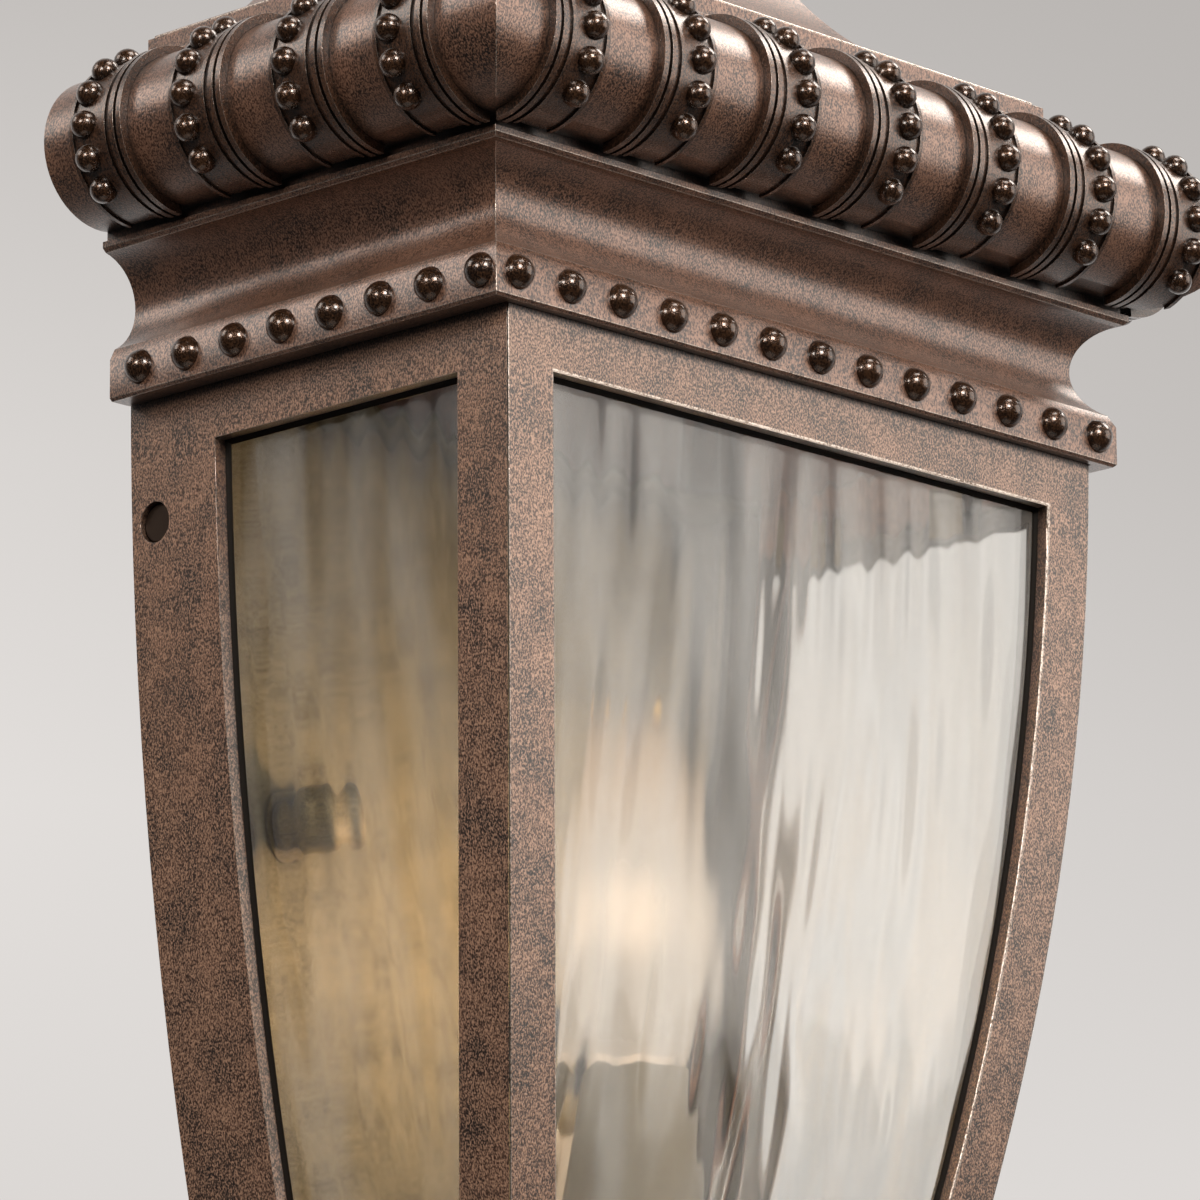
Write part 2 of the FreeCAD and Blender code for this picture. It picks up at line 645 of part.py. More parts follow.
strip_top = S.strip_bottom + S.strip_height
cove_centre_width = S.cove_half_width + S.cove_radius
cove_low_reach = cove_centre_width - S.strip_half_width + S.strip_slope_depth
cove_centre = strip_top + root(S.cove_radius * S.cove_radius - cove_low_reach * cove_low_reach)
cove_high_reach = cove_centre_width - S.ledge_half_width + S.ledge_bevel
cove_top = cove_centre + root(S.cove_radius * S.cove_radius - cove_high_reach * cove_high_reach)
ledge_top = cove_top + S.ledge_height
neck_top = ledge_top + S.neck_height
neck_half_width = S.ledge_half_width - S.neck_depth
roll_reach = S.roll_half_width - neck_half_width
roll_centre = neck_top + root(S.roll_radius * S.roll_radius - roll_reach * roll_reach)
roll_top = roll_centre + S.roll_radius
lower_step_top = roll_top + S.lower_step_height
cornice_top = lower_step_top + S.upper_step_height


def make_cornice():
    cove_inner = S.cove_half_width - S.casting_wall
    roll_inner = S.roll_half_width + S.roll_radius - 2 * S.casting_wall
    top_inner = S.upper_step_half_width - S.casting_wall
    outside = [
        (S.strip_half_width - S.strip_bevel, S.strip_bottom),
        (S.strip_half_width, S.strip_bottom + S.strip_bevel),
        (S.strip_half_width, strip_top - S.strip_slope_height),
        (S.strip_half_width - S.strip_slope_depth, strip_top),
        (S.cove_half_width, cove_centre, -S.cove_radius),
        (S.ledge_half_width - S.ledge_bevel, cove_top, -S.cove_radius),
        (S.ledge_half_width, cove_top + S.ledge_bevel),
        (S.ledge_half_width, ledge_top),
        (neck_half_width, ledge_top),
        (neck_half_width, neck_top),
        (S.roll_half_width + S.roll_radius, roll_centre, S.roll_radius),
        (S.roll_half_width, roll_top, S.roll_radius),
        (S.lower_step_half_width, roll_top),
        (S.lower_step_half_width, lower_step_top),
        (S.upper_step_half_width, lower_step_top),
        (S.upper_step_half_width, cornice_top),
    ]
    inside = [
        (cove_inner, shoulder_height),
        (cove_inner, cove_top),
        (roll_inner, roll_centre - S.roll_radius / 2),
        (roll_inner, roll_centre + S.roll_radius / 2),
        (top_inner, roll_top - S.casting_wall / 2),
        (top_inner, cornice_top + S.overcut),
    ]
    block = mitred("cornice_block", outside, cornice_offset)
    hollow = mitred("cornice_hollow", inside, cornice_offset, -S.back_web)
    recess = mitred("cornice_recess", cage_profile(-S.fit_gap, S.strip_bottom - S.overcut, shoulder_height),
                    frame_offset, S.overcut)
    node(cut("cornice", block, hollow, recess), "cornice")


def strap_row(name, count, pitch, first, x, y, z, rotation):
    """A row of straps along a roll, each turned about the roll's axis from its top to its underside."""
    body = doc.addObject("PartDesign::Body", name)
    drawing = body.newObject("Sketcher::SketchObject", name + "_section")
    plane = [f for f in body.Origin.OriginFeatures if f.Role == "XZ_Plane"][0]
    drawing.AttachmentSupport = (plane, [""])
    drawing.MapMode = "FlatFace"
    left = first - S.strap_width / 2
    seat = S.roll_radius + S.strap_seat_gap
    face = seat + S.strap_thickness
    crest = face + S.rib_height
    groove = left + S.rib_width
    second = groove + S.rib_space
    flat = second + S.rib_width
    line = flat + S.line_space
    right = left + S.strap_width
    far_line = right - S.line_width
    line_crest = face + S.line_height
    add_outline(drawing, [
        (left, seat), (right, seat), (right, line_crest), (far_line, line_crest), (far_line, face),
        (line + S.line_width, face), (line + S.line_width, line_crest), (line, line_crest), (line, face),
        (flat, face), (flat, crest), (second, crest), (second, face),
        (groove, face), (groove, crest), (left, crest)])
    spun = body.newObject("PartDesign::Revolution", name + "_spun")
    spun.Profile = drawing
    spun.ReferenceAxis = (drawing, ["H_Axis"])
    bind(spun, "Angle", S.strap_angle)
    doc.recompute()
    row = body.newObject("PartDesign::LinearPattern", name + "_pattern")
    row.Originals = [spun]
    row.Direction = (drawing, ["H_Axis"])
    bind(row, "Length", pitch * (count - 1))
    bind(row, "Occurrences", count)
    body.Tip = row
    return place(body, x, y, z, rotation)


def make_straps():
    front = strap_row("front_straps", S.strap_count, S.strap_pitch, S.first_strap,
                      ZERO, -S.roll_projection, roll_centre, None)
    right = strap_row("right_straps", S.side_strap_count, S.side_strap_pitch,
                      -S.side_strap_setout - S.side_strap_run,
                      S.roll_half_width, ZERO, roll_centre, FreeCAD.Rotation(Z_AXIS, 90))
    zone = wedge("strap_zone", cornice_offset, S.seam_gap)
    front_row = common("front_strap_row", front, zone)
    right_row = cut("right_strap_row", right, zone)
    node(group("roll_straps", front_row, right_row, mirror("left_strap_row", right_row)), "roll_straps")


def bead(radius, rise, sides):
    """A low faceted ball end that stands on its seat at the origin and points up."""
    middle = rise - radius
    turns = [2 * math.pi * k / sides for k in range(sides)]
    rings = []
    for height in (0, middle + 0.2 * radius, middle + 0.88 * radius):
        reach = math.sqrt(radius ** 2 - (height - middle) ** 2)
        rings.append([FreeCAD.Vector(reach * math.cos(turn), reach * math.sin(turn), height)
                      for turn in turns])
    faces = [rings[0], rings[-1]]
    for low, high in zip(rings, rings[1:]):
        for k in range(sides):
            faces.append([low[k - 1], low[k], high[k], high[k - 1]])
    shell = Part.makeShell([Part.Face(Part.makePolygon(f + f[:1])) for f in faces])
    return Part.makeSolid(shell)


def planted(shape, spot, outwards):
    """A copy of a shape on a spot, turned to point outwards."""
    copy = shape.copy()
    copy.Placement = FreeCAD.Placement(spot, FreeCAD.Rotation(Z_AXIS, outwards))
    return copy


def make_beads():
    strip_bead = bead(S.strip_bead_radius.value, S.strip_bead_rise.value, 8)
    line = (S.strip_bottom + S.strip_height / 2).value
    strip = []
    for number in range(int(S.strip_bead_count.value)):
        x = (number - (S.strip_bead_count.value - 1) / 2) * S.strip_bead_pitch.value
        strip.append(planted(strip_bead, FreeCAD.Vector(x, -S.strip_projection.value, line), -Y_AXIS))
    for number in range(int(S.side_bead_count.value)):
        y = number * S.side_bead_pitch.value + (S.side_bead_setback - S.strip_projection).value
        for side in (-1, 1):
            spot = FreeCAD.Vector(side * S.strip_half_width.value, y, line)
            strip.append(planted(strip_bead, spot, X_AXIS * side))
    on_strip = doc.addObject("Part::Feature", "strip_beads")
    on_strip.Shape = Part.makeCompound(strip)
    node(on_strip, "strip_beads")

    strap_bead = bead(S.strap_bead_radius.value, S.strap_bead_rise.value, 6)
    seat = (S.roll_radius + S.strap_seat_gap + S.strap_thickness).value
    straps = []
    for step in range(int(S.strap_bead_count.value)):
        angle = math.radians((S.strap_bead_top_angle - step * S.strap_bead_step_angle).value)
        out = math.cos(angle)
        up = math.sin(angle)
        height = roll_centre.value + seat * up
        for number in range(int(S.strap_count.value)):
            x = (S.first_strap + number * S.strap_pitch + S.strap_bead_shift).value
            y = -S.roll_projection.value - seat * out
            straps.append(planted(strap_bead, FreeCAD.Vector(x, y, height), FreeCAD.Vector(0, -out, up)))
        for number in range(int(S.side_strap_count.value)):
            y = -(S.side_strap_setout + number * S.side_strap_pitch - S.strap_bead_shift).value
            for side in (-1, 1):
                spot = FreeCAD.Vector(side * (S.roll_half_width.value + seat * out), y, height)
                straps.append(planted(strap_bead, spot, FreeCAD.Vector(side * out, 0, up)))
    on_straps = doc.addObject("Part::Feature", "strap_beads")
    on_straps.Shape = Part.makeCompound(straps)
    node(on_straps, "strap_beads")


# Roof

def roof_profile(inset, foot):
    """Flare and dome of the roof, or of a shell inside it, above an upright foot."""
    flare = S.roof_flare_radius + inset
    dome = S.roof_dome_radius - inset
    flare_width = S.eave_half_width + S.roof_flare_radius * sine(S.roof_eave_angle)
    flare_height = cornice_top + S.eave_height + S.roof_flare_radius * cosine(S.roof_eave_angle)
    turn_reach = flare + dome
    dome_width = flare_width - turn_reach * sine(S.roof_turn_angle)
    dome_height = flare_height - turn_reach * cosine(S.roof_turn_angle)
    eave = (flare_width - flare * sine(S.roof_eave_angle), flare_height - flare * cosine(S.roof_eave_angle))
    turn = (flare_width - flare * sine(S.roof_turn_angle),
            flare_height - flare * cosine(S.roof_turn_angle), -flare)
    top = (dome_width + dome * sine(S.roof_top_angle), dome_height + dome * cosine(S.roof_top_angle), dome)
    return ([(eave[0], foot)] if foot else []) + [eave, turn, top]


roof_crest = roof_profile(ZERO, cornice_top)[-1]
cap_half_width = roof_crest[0] + S.cap_overhang
cap_top = roof_crest[1] + S.cap_height + S.cap_bevel + S.cap_neck
finial_setout = (cap_half_width - S.cap_bevel + cornice_offset) / 2


def make_roof():
    block = mitred("roof_block", roof_profile(ZERO, cornice_top), cornice_offset)
    hollow = mitred("roof_hollow", roof_profile(S.roof_wall, None), cornice_offset, -S.back_web)
    node(cut("roof", block, hollow), "roof")
    shoulder = roof_crest[1] + S.cap_height
    neck = cap_half_width - S.cap_bevel
    node(mitred("roof_cap", [(cap_half_width, roof_crest[1]), (cap_half_width, shoulder),
                             (neck, shoulder + S.cap_bevel), (neck, cap_top)], cornice_offset), "roof_cap")


def make_top_finial():
    neck_top = S.finial_foot_height + S.finial_neck_height
    middle = neck_top + S.finial_ball_radius * sine(S.finial_ball_angle)
    foot = (S.finial_foot_radius, S.finial_foot_height)
    neck = (S.finial_ball_radius * cosine(S.finial_ball_angle), neck_top)
    node(turned("top_finial", [(ZERO, ZERO), (S.finial_foot_radius, ZERO), foot]
                + swell(foot, neck, False, 4)
                + ball(middle, S.finial_ball_radius, -S.finial_ball_angle, S.finial_ball_angle, 8)[1:]
                + [(ZERO, middle + S.finial_ball_radius * sine(S.finial_ball_angle) + S.finial_spire)],
                ZERO, -finial_setout, cap_top), "top_finial")


# Base

base_half_width = cage_half_width(ZERO, S.frame_bottom + S.base_skirt) + S.base_lip
ring_width = base_half_width - S.base_step - S.base_ovolo_radius
foot_width = ring_width - S.base_ring_step - S.base_cavetto_radius
lip_bottom = S.frame_bottom - S.base_fillet
ovolo_bottom = lip_bottom - S.base_ovolo_radius
ring_bottom = ovolo_bottom - S.base_ring_step
cavetto_bottom = ring_bottom - S.base_cavetto_radius
base_bottom = cavetto_bottom - S.base_foot_height


def make_base():
    outside = [
        (foot_width, base_bottom),
        (foot_width, cavetto_bottom),
        (foot_width + S.base_cavetto_radius, ring_bottom, -S.base_cavetto_radius),
        (ring_width, ring_bottom),
        (ring_width, ovolo_bottom),
        (ring_width + S.base_ovolo_radius, lip_bottom, S.base_ovolo_radius),
        (base_half_width, lip_bottom),
        (base_half_width, S.frame_bottom + S.base_skirt),
    ]
    seat = S.frame_bottom - S.fit_gap
    hollow_width = cage_half_width(S.frame_thickness + S.base_seat, S.frame_bottom)
    block = mitred("base_block", outside, frame_offset)
    recess = mitred("base_recess", cage_profile(-S.fit_gap, seat, S.frame_bottom + S.base_skirt + S.overcut),
                    frame_offset, S.overcut)
    hollow = mitred("base_hollow", [(hollow_width, seat - S.base_hollow_depth),
                                    (hollow_width, seat + S.overcut)], frame_offset, -S.back_web)
    node(cut("base_moulding", block, recess, hollow), "base_moulding")


def make_bottom_finial():
    ball_top = S.drop_foot_height + S.drop_neck_height
    reach = S.drop_ball_radius * sine(S.drop_ball_angle)
    middle = -(ball_top + reach)
    neck = (S.drop_ball_radius * cosine(S.drop_ball_angle), -ball_top)
    foot = (S.drop_foot_radius, -S.drop_foot_height)
    node(turned("bottom_finial", [(ZERO, ZERO), (ZERO, middle - reach - S.drop_tip)]
                + ball(middle, S.drop_ball_radius, -S.drop_ball_angle, S.drop_ball_angle, 8)
                + swell(neck, foot, True, 4)
                + [(S.drop_foot_radius, ZERO)],
                ZERO, -(foot_width + frame_offset) / 2, base_bottom), "bottom_finial")


# Back plate and its fixings

plate_inset = S.frame_thickness + S.plate_gap
plate_bottom = S.frame_bottom + S.plate_gap
plate_face = S.gasket_thickness + S.plate_sheet
half_spacing = S.box_spacing / 2
arm_bottom = S.arm_height - S.arm_sheet


def make_back_plate():
    """A flat sheet, and its bent rim as a ring that stands on the sheet's edge."""
    rim_front = S.gasket_thickness + S.plate_depth
    outline = both_sides(cage_profile(plate_inset, plate_bottom, S.frame_top))
    floor = extrude("plate_floor", "XZ", outline, plate_face, S.gasket_thickness)
    stud_hole = cylinder("stud_hole", S.stud_hole_radius, plate_face + S.overcut,
                         half_spacing, ZERO, ZERO, FORWARD)
    cable_hole = cylinder("cable_hole", S.cable_hole_radius, plate_face + S.overcut, S.cable_offset, ZERO,
                          S.cable_height, FORWARD)
    screw_holes = []
    for number, (x, z) in enumerate(screw_spots()):
        screw_holes.append(cylinder("screw_hole_%d" % number, S.screw_radius + S.screw_hole_gap,
                                    plate_face + S.overcut, x, ZERO, z, FORWARD))
    node(cut("back_plate", floor, stud_hole, mirror("stud_hole_twin", stud_hole), cable_hole, *screw_holes),
         "back_plate")
    inside = both_sides(cage_profile(plate_inset + S.plate_sheet, plate_bottom + S.plate_sheet,
                                     S.frame_top - S.plate_sheet))
    node(cut("plate_rim", extrude("rim_block", "XZ", outline, rim_front, plate_face),
             extrude("rim_hollow", "XZ", inside, rim_front + S.overcut, S.gasket_thickness)), "plate_rim")


def screw_spots():
    """Earth screw first, then the two screws of the lamp arm's foot."""
    first = S.arm_height + S.foot_screw_rise
    return [(S.earth_offset, S.earth_height), (ZERO, first), (ZERO, first + S.foot_screw_pitch)]


def make_gasket():
    inset = plate_inset + S.gasket_margin
    pad = extrude("gasket_pad", "XZ", both_sides(cage_profile(inset, plate_bottom + S.gasket_margin,
                                                              S.frame_top - S.gasket_margin)),
                  S.gasket_thickness, ZERO)
    deep = S.gasket_thickness + S.overcut
    stud_hole = cylinder("gasket_stud_hole", S.stud_hole_radius, 2 * deep, half_spacing, deep, ZERO, FORWARD)
    bush_hole = cylinder("gasket_bush_hole", S.cable_hole_radius + S.bush_flange + S.fit_gap, 2 * deep,
                         S.cable_offset, deep, S.cable_height, FORWARD)
    twin_hole = mirror("gasket_stud_hole_twin", stud_hole)
    node(cut("wall_gasket", pad, stud_hole, twin_hole, bush_hole), "wall_gasket")


def make_knobs():
    washer = turned("washer", [
        (S.stud_hole_radius, ZERO), (S.washer_radius, ZERO), (S.washer_radius, S.washer_thickness),
        (S.stud_hole_radius, S.washer_thickness)], half_spacing, -plate_face, ZERO, FORWARD)
    node(group("knob_washers", washer, mirror("washer_twin", washer)), "knob_washers")
    head_foot = S.knob_collar_length
    head_end = head_foot + S.knob_head_length
    knob = turned("knob", [
        (ZERO, S.knob_bore_depth), (S.knob_bore_radius, S.knob_bore_depth), (S.knob_bore_radius, ZERO),
        (S.knob_collar_radius, ZERO), (S.knob_collar_radius, head_foot), (S.knob_head_radius, head_foot),
        (S.knob_head_radius, head_end)]
        + swell((S.knob_head_radius, head_end), (ZERO, head_end + S.knob_crown), False, 4),
        half_spacing, -(plate_face + S.washer_thickness), ZERO, FORWARD)
    node(group("fixing_knobs", knob, mirror("knob_twin", knob)), "fixing_knobs")


def make_cable_bush():
    flange = S.cable_hole_radius + S.bush_flange
    back = S.gasket_thickness - S.bush_flange_thickness
    front = plate_face + S.bush_flange_thickness
    node(turned("cable_bush", [
        (S.bush_bore_radius, back), (flange, back), (flange, S.gasket_thickness),
        (S.cable_hole_radius, S.gasket_thickness), (S.cable_hole_radius, plate_face), (flange, plate_face),
        (flange, front), (S.bush_bore_radius, front)],
        S.cable_offset, ZERO, S.cable_height, FORWARD), "cable_bush")


def make_screws():
    made = []
    for number, (x, z) in enumerate(screw_spots()):
        face = plate_face if number == 0 else plate_face + S.arm_sheet
        made.append(turned("plate_screw_%d" % number, [
            (ZERO, ZERO), (S.screw_radius, ZERO), (S.screw_radius, face - S.gasket_thickness),
            (S.screw_head_radius, face - S.gasket_thickness),
            (S.screw_head_radius * 0.8, face - S.gasket_thickness + S.screw_head_height * 0.7),
            (S.screw_head_radius * 0.4, face - S.gasket_thickness + S.screw_head_height),
            (ZERO, face - S.gasket_thickness + S.screw_head_height)],
            x, -S.gasket_thickness, z, FORWARD))
    node(made[0], "earth_screw")
    node(group("bracket_screws", made[1], made[2]), "bracket_screws")
    head_foot = plate_inset - S.fit_gap - S.lock_recess - S.lock_head_height
    lock = turned("locking_screw", [
        (ZERO, ZERO), (S.lock_radius, ZERO), (S.lock_radius, head_foot), (S.lock_head_radius, head_foot),
        (S.lock_head_radius, head_foot + S.lock_head_height), (ZERO, head_foot + S.lock_head_height)],
        cage_half_width(ZERO, S.lock_height) - plate_inset + S.fit_gap,
        -S.lock_setout, S.lock_height, RIGHTWARD)
    node(group("locking_screws", lock, mirror("locking_screw_twin", lock)), "locking_screws")


def make_terminal_block():
    half = S.block_width / 2
    block = box("block_body", (S.block_offset - half, -(plate_face + S.block_deep), S.block_height),
                (S.block_offset + half, -plate_face, S.block_height + S.block_tall))
    wells = []
    for number in (-1, 0, 1):
        wells.append(cylinder("block_well_%d" % (number + 1), S.well_radius, S.well_depth + S.overcut,
                              S.block_offset + number * S.block_pitch,
                              -(plate_face + S.block_deep - S.well_depth),
                              S.block_height + S.block_tall / 2, FORWARD))
    node(cut("terminal_block", block, *wells), "terminal_block")


# Lamp

def make_lamp_arm():
    nose = S.lamp_setout + S.arm_nose
    outline = [(-plate_face, arm_bottom), (-plate_face, S.arm_height + S.arm_foot),
               (-(plate_face + S.arm_sheet), S.arm_height + S.arm_foot),
               (-(plate_face + S.arm_sheet), S.arm_height), (-nose, S.arm_height), (-nose, arm_bottom)]
    angle = extrude("arm_angle", "YZ", outline, S.arm_width / 2)
    hole = cylinder("arm_hole", S.nipple_radius + S.screw_hole_gap, S.arm_sheet + 2 * S.overcut, ZERO,
                    -S.lamp_setout, arm_bottom - S.overcut)
    first, second = [cylinder("arm_screw_hole_%d" % number, S.screw_radius + S.screw_hole_gap,
                              plate_face + S.arm_sheet + S.overcut, x, ZERO, z, FORWARD)
                     for number, (x, z) in enumerate(screw_spots()[1:])]
    node(cut("lamp_bracket", angle, hole, first, second), "lamp_bracket")
    tube = S.nipple_length_up + S.nipple_length_down
    node(turned("holder_nipple", [
        (S.nipple_bore_radius, ZERO), (S.nipple_radius, ZERO), (S.nipple_radius, tube),
        (S.nipple_bore_radius, tube)],
        ZERO, -S.lamp_setout, S.arm_height - S.nipple_length_down), "holder_nipple")
    nut = doc.addObject("Part::Prism", "nut_body")
    nut.Polygon = 6
    bind(nut, "Circumradius", S.nut_across / 2)
    bind(nut, "Height", S.nut_height)
    place(nut, ZERO, -S.lamp_setout, arm_bottom - S.nut_height)
    nut_hole = cylinder("nut_hole", S.nipple_radius + S.screw_hole_gap, S.nut_height + 2 * S.overcut, ZERO,
                        -S.lamp_setout, arm_bottom - S.nut_height - S.overcut)
    node(cut("nipple_nut", nut, nut_hole), "nipple_nut")


def make_lamp():
    socket_radius = S.cap_radius + S.cap_gap
    socket_foot = S.holder_height - S.holder_well
    nipple_well = S.nipple_radius + S.screw_hole_gap
    node(turned("lamp_holder", [
        (S.nipple_bore_radius, socket_foot), (socket_radius, socket_foot), (socket_radius, S.holder_height),
        (S.holder_radius, S.holder_height), (S.holder_radius, ZERO), (nipple_well, ZERO),
        (nipple_well, S.nipple_length_up), (S.nipple_bore_radius, S.nipple_length_up)],
        ZERO, -S.lamp_setout, S.arm_height), "lamp_holder")
    bore = S.sleeve_radius - S.sleeve_wall
    node(turned("candle_sleeve", [
        (bore, ZERO), (S.sleeve_radius, ZERO), (S.sleeve_radius, S.sleeve_height), (bore, S.sleeve_height)],
        ZERO, -S.lamp_setout, S.arm_height), "candle_sleeve")
    cap_foot = S.arm_height + socket_foot + S.cap_gap
    node(turned("bulb_cap", [
        (ZERO, ZERO), (S.cap_radius, ZERO), (S.cap_radius, S.cap_length), (ZERO, S.cap_length)],
        ZERO, -S.lamp_setout, cap_foot), "bulb_cap")
    wide = S.bulb_throat + S.bulb_swell
    tip = wide + S.bulb_taper
    wall = S.bulb_wall
    skins = []
    for skin in (ZERO, wall):
        throat = (S.bulb_throat_radius - skin, S.bulb_throat)
        widest = (S.bulb_radius - skin, wide)
        end = (S.bulb_tip_radius - skin, tip - skin)
        skins.append([(S.bulb_neck_radius - skin, ZERO), throat] + swell(throat, widest, True, 5)
                     + swell(widest, end, False, 7) + [(ZERO, tip - skin)])
    node(turned("bulb_glass", skins[0] + skins[1][::-1], ZERO, -S.lamp_setout, cap_foot + S.cap_length),
         "bulb_glass")


def lead_path(points, bend):
    """Straight runs joined by tangent arcs of one radius."""
    edges = []
    start = points[0]
    for before, corner, after in zip(points, points[1:], points[2:]):
        into = (corner - before).normalize()
        out = (after - corner).normalize()
        turn = into.getAngle(out)
        setback = bend * math.tan(turn / 2)
        first = corner - into * setback
        last = corner + out * setback
        inward = (out - into).normalize()
        centre = corner + inward * (bend / math.cos(turn / 2))
        edges.append(Part.LineSegment(start, first).toShape())
        edges.append(Part.Arc(first, centre - inward * bend, last).toShape())
        start = last
    edges.append(Part.LineSegment(start, points[-1]).toShape())
    return Part.Wire(edges)


def make_leads():
    """Two leads that leave the terminal block, pass under the arm and rise into the hollow tube."""
    low = (arm_bottom - S.lead_drop).value
    y_block = -(plate_face + S.block_deep / 2).value
    tubes = []
    for side in (-1, 1):
        x_block = (S.block_offset + side * S.block_pitch / 2).value
        x_lamp = side * S.lead_spacing.value / 2
        points = [FreeCAD.Vector(x_block, y_block, S.block_height.value),
                  FreeCAD.Vector(x_block, y_block, low),
                  FreeCAD.Vector(x_lamp, -S.lamp_setout.value, low),
                  FreeCAD.Vector(x_lamp, -S.lamp_setout.value, (S.arm_height + S.nipple_length_up).value)]
        path = lead_path(points, S.lead_bend.value)
        corners = [points[0] + FreeCAD.Vector(math.cos(k * math.pi / 3), math.sin(k * math.pi / 3), 0)
                   * S.lead_radius.value for k in range(6)]
        ring = Part.makePolygon(corners + corners[:1])
        tubes.append(path.makePipeShell([ring], True, False))
    leads = doc.addObject("Part::Feature", "lamp_leads")
    leads.Shape = Part.makeCompound(tubes)
    node(leads, "lamp_leads")


# Build, check and write

for make in (make_frames, make_panes, make_clips, make_cornice, make_straps, make_beads, make_roof,
             make_top_finial, make_base, make_bottom_finial, make_back_plate, make_gasket, make_knobs,
             make_cable_bush, make_screws, make_terminal_block, make_lamp_arm, make_lamp, make_leads):
    make()
doc.recompute()

for obj in doc.Objects:
    if any(word in obj.State for word in ("Invalid", "Error")):
        raise RuntimeError("%s was not built: %s" % (obj.Label, obj.State))
for obj in nodes:
    if obj.Shape.isNull() or not obj.Shape.isValid() or not obj.Shape.Solids:
        raise RuntimeError("%s has no valid solid" % obj.Label)

os.makedirs("parts", exist_ok=True)
for obj in nodes:
    obj.Shape.exportStep("parts/%s.step" % obj.Label)
    print(obj.Label, len(obj.Shape.Solids), "solids", round(obj.Shape.Volume), "mm3")
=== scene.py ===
# %% [markdown]
# # Half lantern for an outside wall
# A bronze half lantern sits flush on a wall: a tapering glazed cage, a cornice with a strapped and beaded roll,
# and a candle lamp inside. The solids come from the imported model, in metres. This lesson dresses them: it rounds
# their edges, replaces the faceted beads, and gives every piece its finish.

# %% Load the solids
import json
import math

import bmesh
import bpy
from mathutils import Matrix, Vector


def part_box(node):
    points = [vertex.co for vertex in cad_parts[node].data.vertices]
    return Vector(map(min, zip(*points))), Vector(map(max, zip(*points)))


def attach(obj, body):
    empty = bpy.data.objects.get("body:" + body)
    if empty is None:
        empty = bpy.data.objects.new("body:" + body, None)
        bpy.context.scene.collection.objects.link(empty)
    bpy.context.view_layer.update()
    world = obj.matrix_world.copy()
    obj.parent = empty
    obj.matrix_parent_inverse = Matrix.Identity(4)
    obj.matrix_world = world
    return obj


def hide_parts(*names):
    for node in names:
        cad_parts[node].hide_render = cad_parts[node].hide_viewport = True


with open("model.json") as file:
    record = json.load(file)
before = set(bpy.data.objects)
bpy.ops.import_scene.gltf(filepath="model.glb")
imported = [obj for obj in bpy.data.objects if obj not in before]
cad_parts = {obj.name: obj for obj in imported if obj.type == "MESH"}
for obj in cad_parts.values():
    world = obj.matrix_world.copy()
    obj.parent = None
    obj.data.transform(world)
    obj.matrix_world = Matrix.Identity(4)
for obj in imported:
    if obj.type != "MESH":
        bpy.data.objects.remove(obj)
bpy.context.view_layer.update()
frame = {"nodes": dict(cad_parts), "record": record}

MM = 0.001
scene = bpy.context.scene
scene.view_settings.view_transform = "Standard"

# %% [markdown]
# ## Camera
# The photograph looks up at the lantern's left front corner from close to its lower end, through a long lens.
# The place and the three directions below were worked out from the straight edges and from the even spacing of
# the beads. A camera looks along its own -Z, so its axes are right, up and backwards.

# %% Camera
CAMERA_PLACE = (-1.0207, -1.0234, -0.3018)
CAMERA_RIGHT = (0.6927, -0.7212, -0.0073)
CAMERA_DOWN = (0.1678, 0.1709, -0.9709)
FOCAL_PIXELS = 7297
IMAGE_PIXELS = 1200
SENSOR_MM = 36

right = Vector(CAMERA_RIGHT).normalized()
up = -Vector(CAMERA_DOWN).normalized()
camera_data = bpy.data.cameras.new("photo camera")
camera_data.sensor_width = SENSOR_MM
camera_data.lens = SENSOR_MM * FOCAL_PIXELS / IMAGE_PIXELS
camera_data.clip_start = 0.05
camera = bpy.data.objects.new("photo camera", camera_data)
axes = Matrix((right, up, right.cross(up))).transposed().to_4x4()
camera.matrix_world = Matrix.Translation(CAMERA_PLACE) @ axes
scene.collection.objects.link(camera)
scene.camera = camera
print("lens", round(camera_data.lens, 1), "mm")

# %% [markdown]
# ## Light and background
# A studio lights a lantern with a few soft boxes, and every bead shows them as small highlights. Here three stand in
# front of it, one behind its left shoulder and two above, the right one for the streak along the front roll. The
# background is a pale grey that darkens towards the top and the right. It is painted by direction, and only for
# rays that end on it or come to it through glass or off metal, so it doesn't add light of its own. A studio is dark
# behind the camera, so reflections that look back that way find a dark room, and the lacquer keeps its depth.

# %% Colour and node helpers


def srgb(code):
    """Linear colour of an sRGB hex value."""
    shares = [int(code[i:i + 2], 16) / 255 for i in (1, 3, 5)]
    return [c / 12.92 if c <= 0.04045 else ((c + 0.055) / 1.055) ** 2.4 for c in shares] + [1.0]


def add(tree, kind, links=None, **settings):
    """Adds one node with its settings. A link is a socket's name or number, with a value or another socket."""
    node = tree.nodes.new(kind)
    for name, value in settings.items():
        setattr(node, name, value)
    for name, value in (links or {}).items():
        if isinstance(value, bpy.types.NodeSocket):
            tree.links.new(value, node.inputs[name])
        else:
            node.inputs[name].default_value = value
    return node


print("the hex grey #808080 is", round(srgb("#808080")[0], 3), "in linear light")

# %% [markdown]
# ## Background
# A paper backdrop could be a bent sheet behind the lantern, but then every other view would show its edge. A
# world that is painted by direction has none. Two upright ramps, one for each side of the picture, are mixed from
# left to right, and a Light Path node decides which rays see them.

# %% Tones of the background
AIM_LOW, AIM_HIGH = 0.16, 0.32
ACROSS = 0.085
LOWER_STOP, UPPER_STOP = 0.33, 0.62
LEFT_TONES = ("#DCD8D5", "#E2DEDB", "#D9D5D2", "#C4C0BD")
RIGHT_TONES = ("#DDD9D6", "#D2CECB", "#C4C0BD", "#B9B5B2")

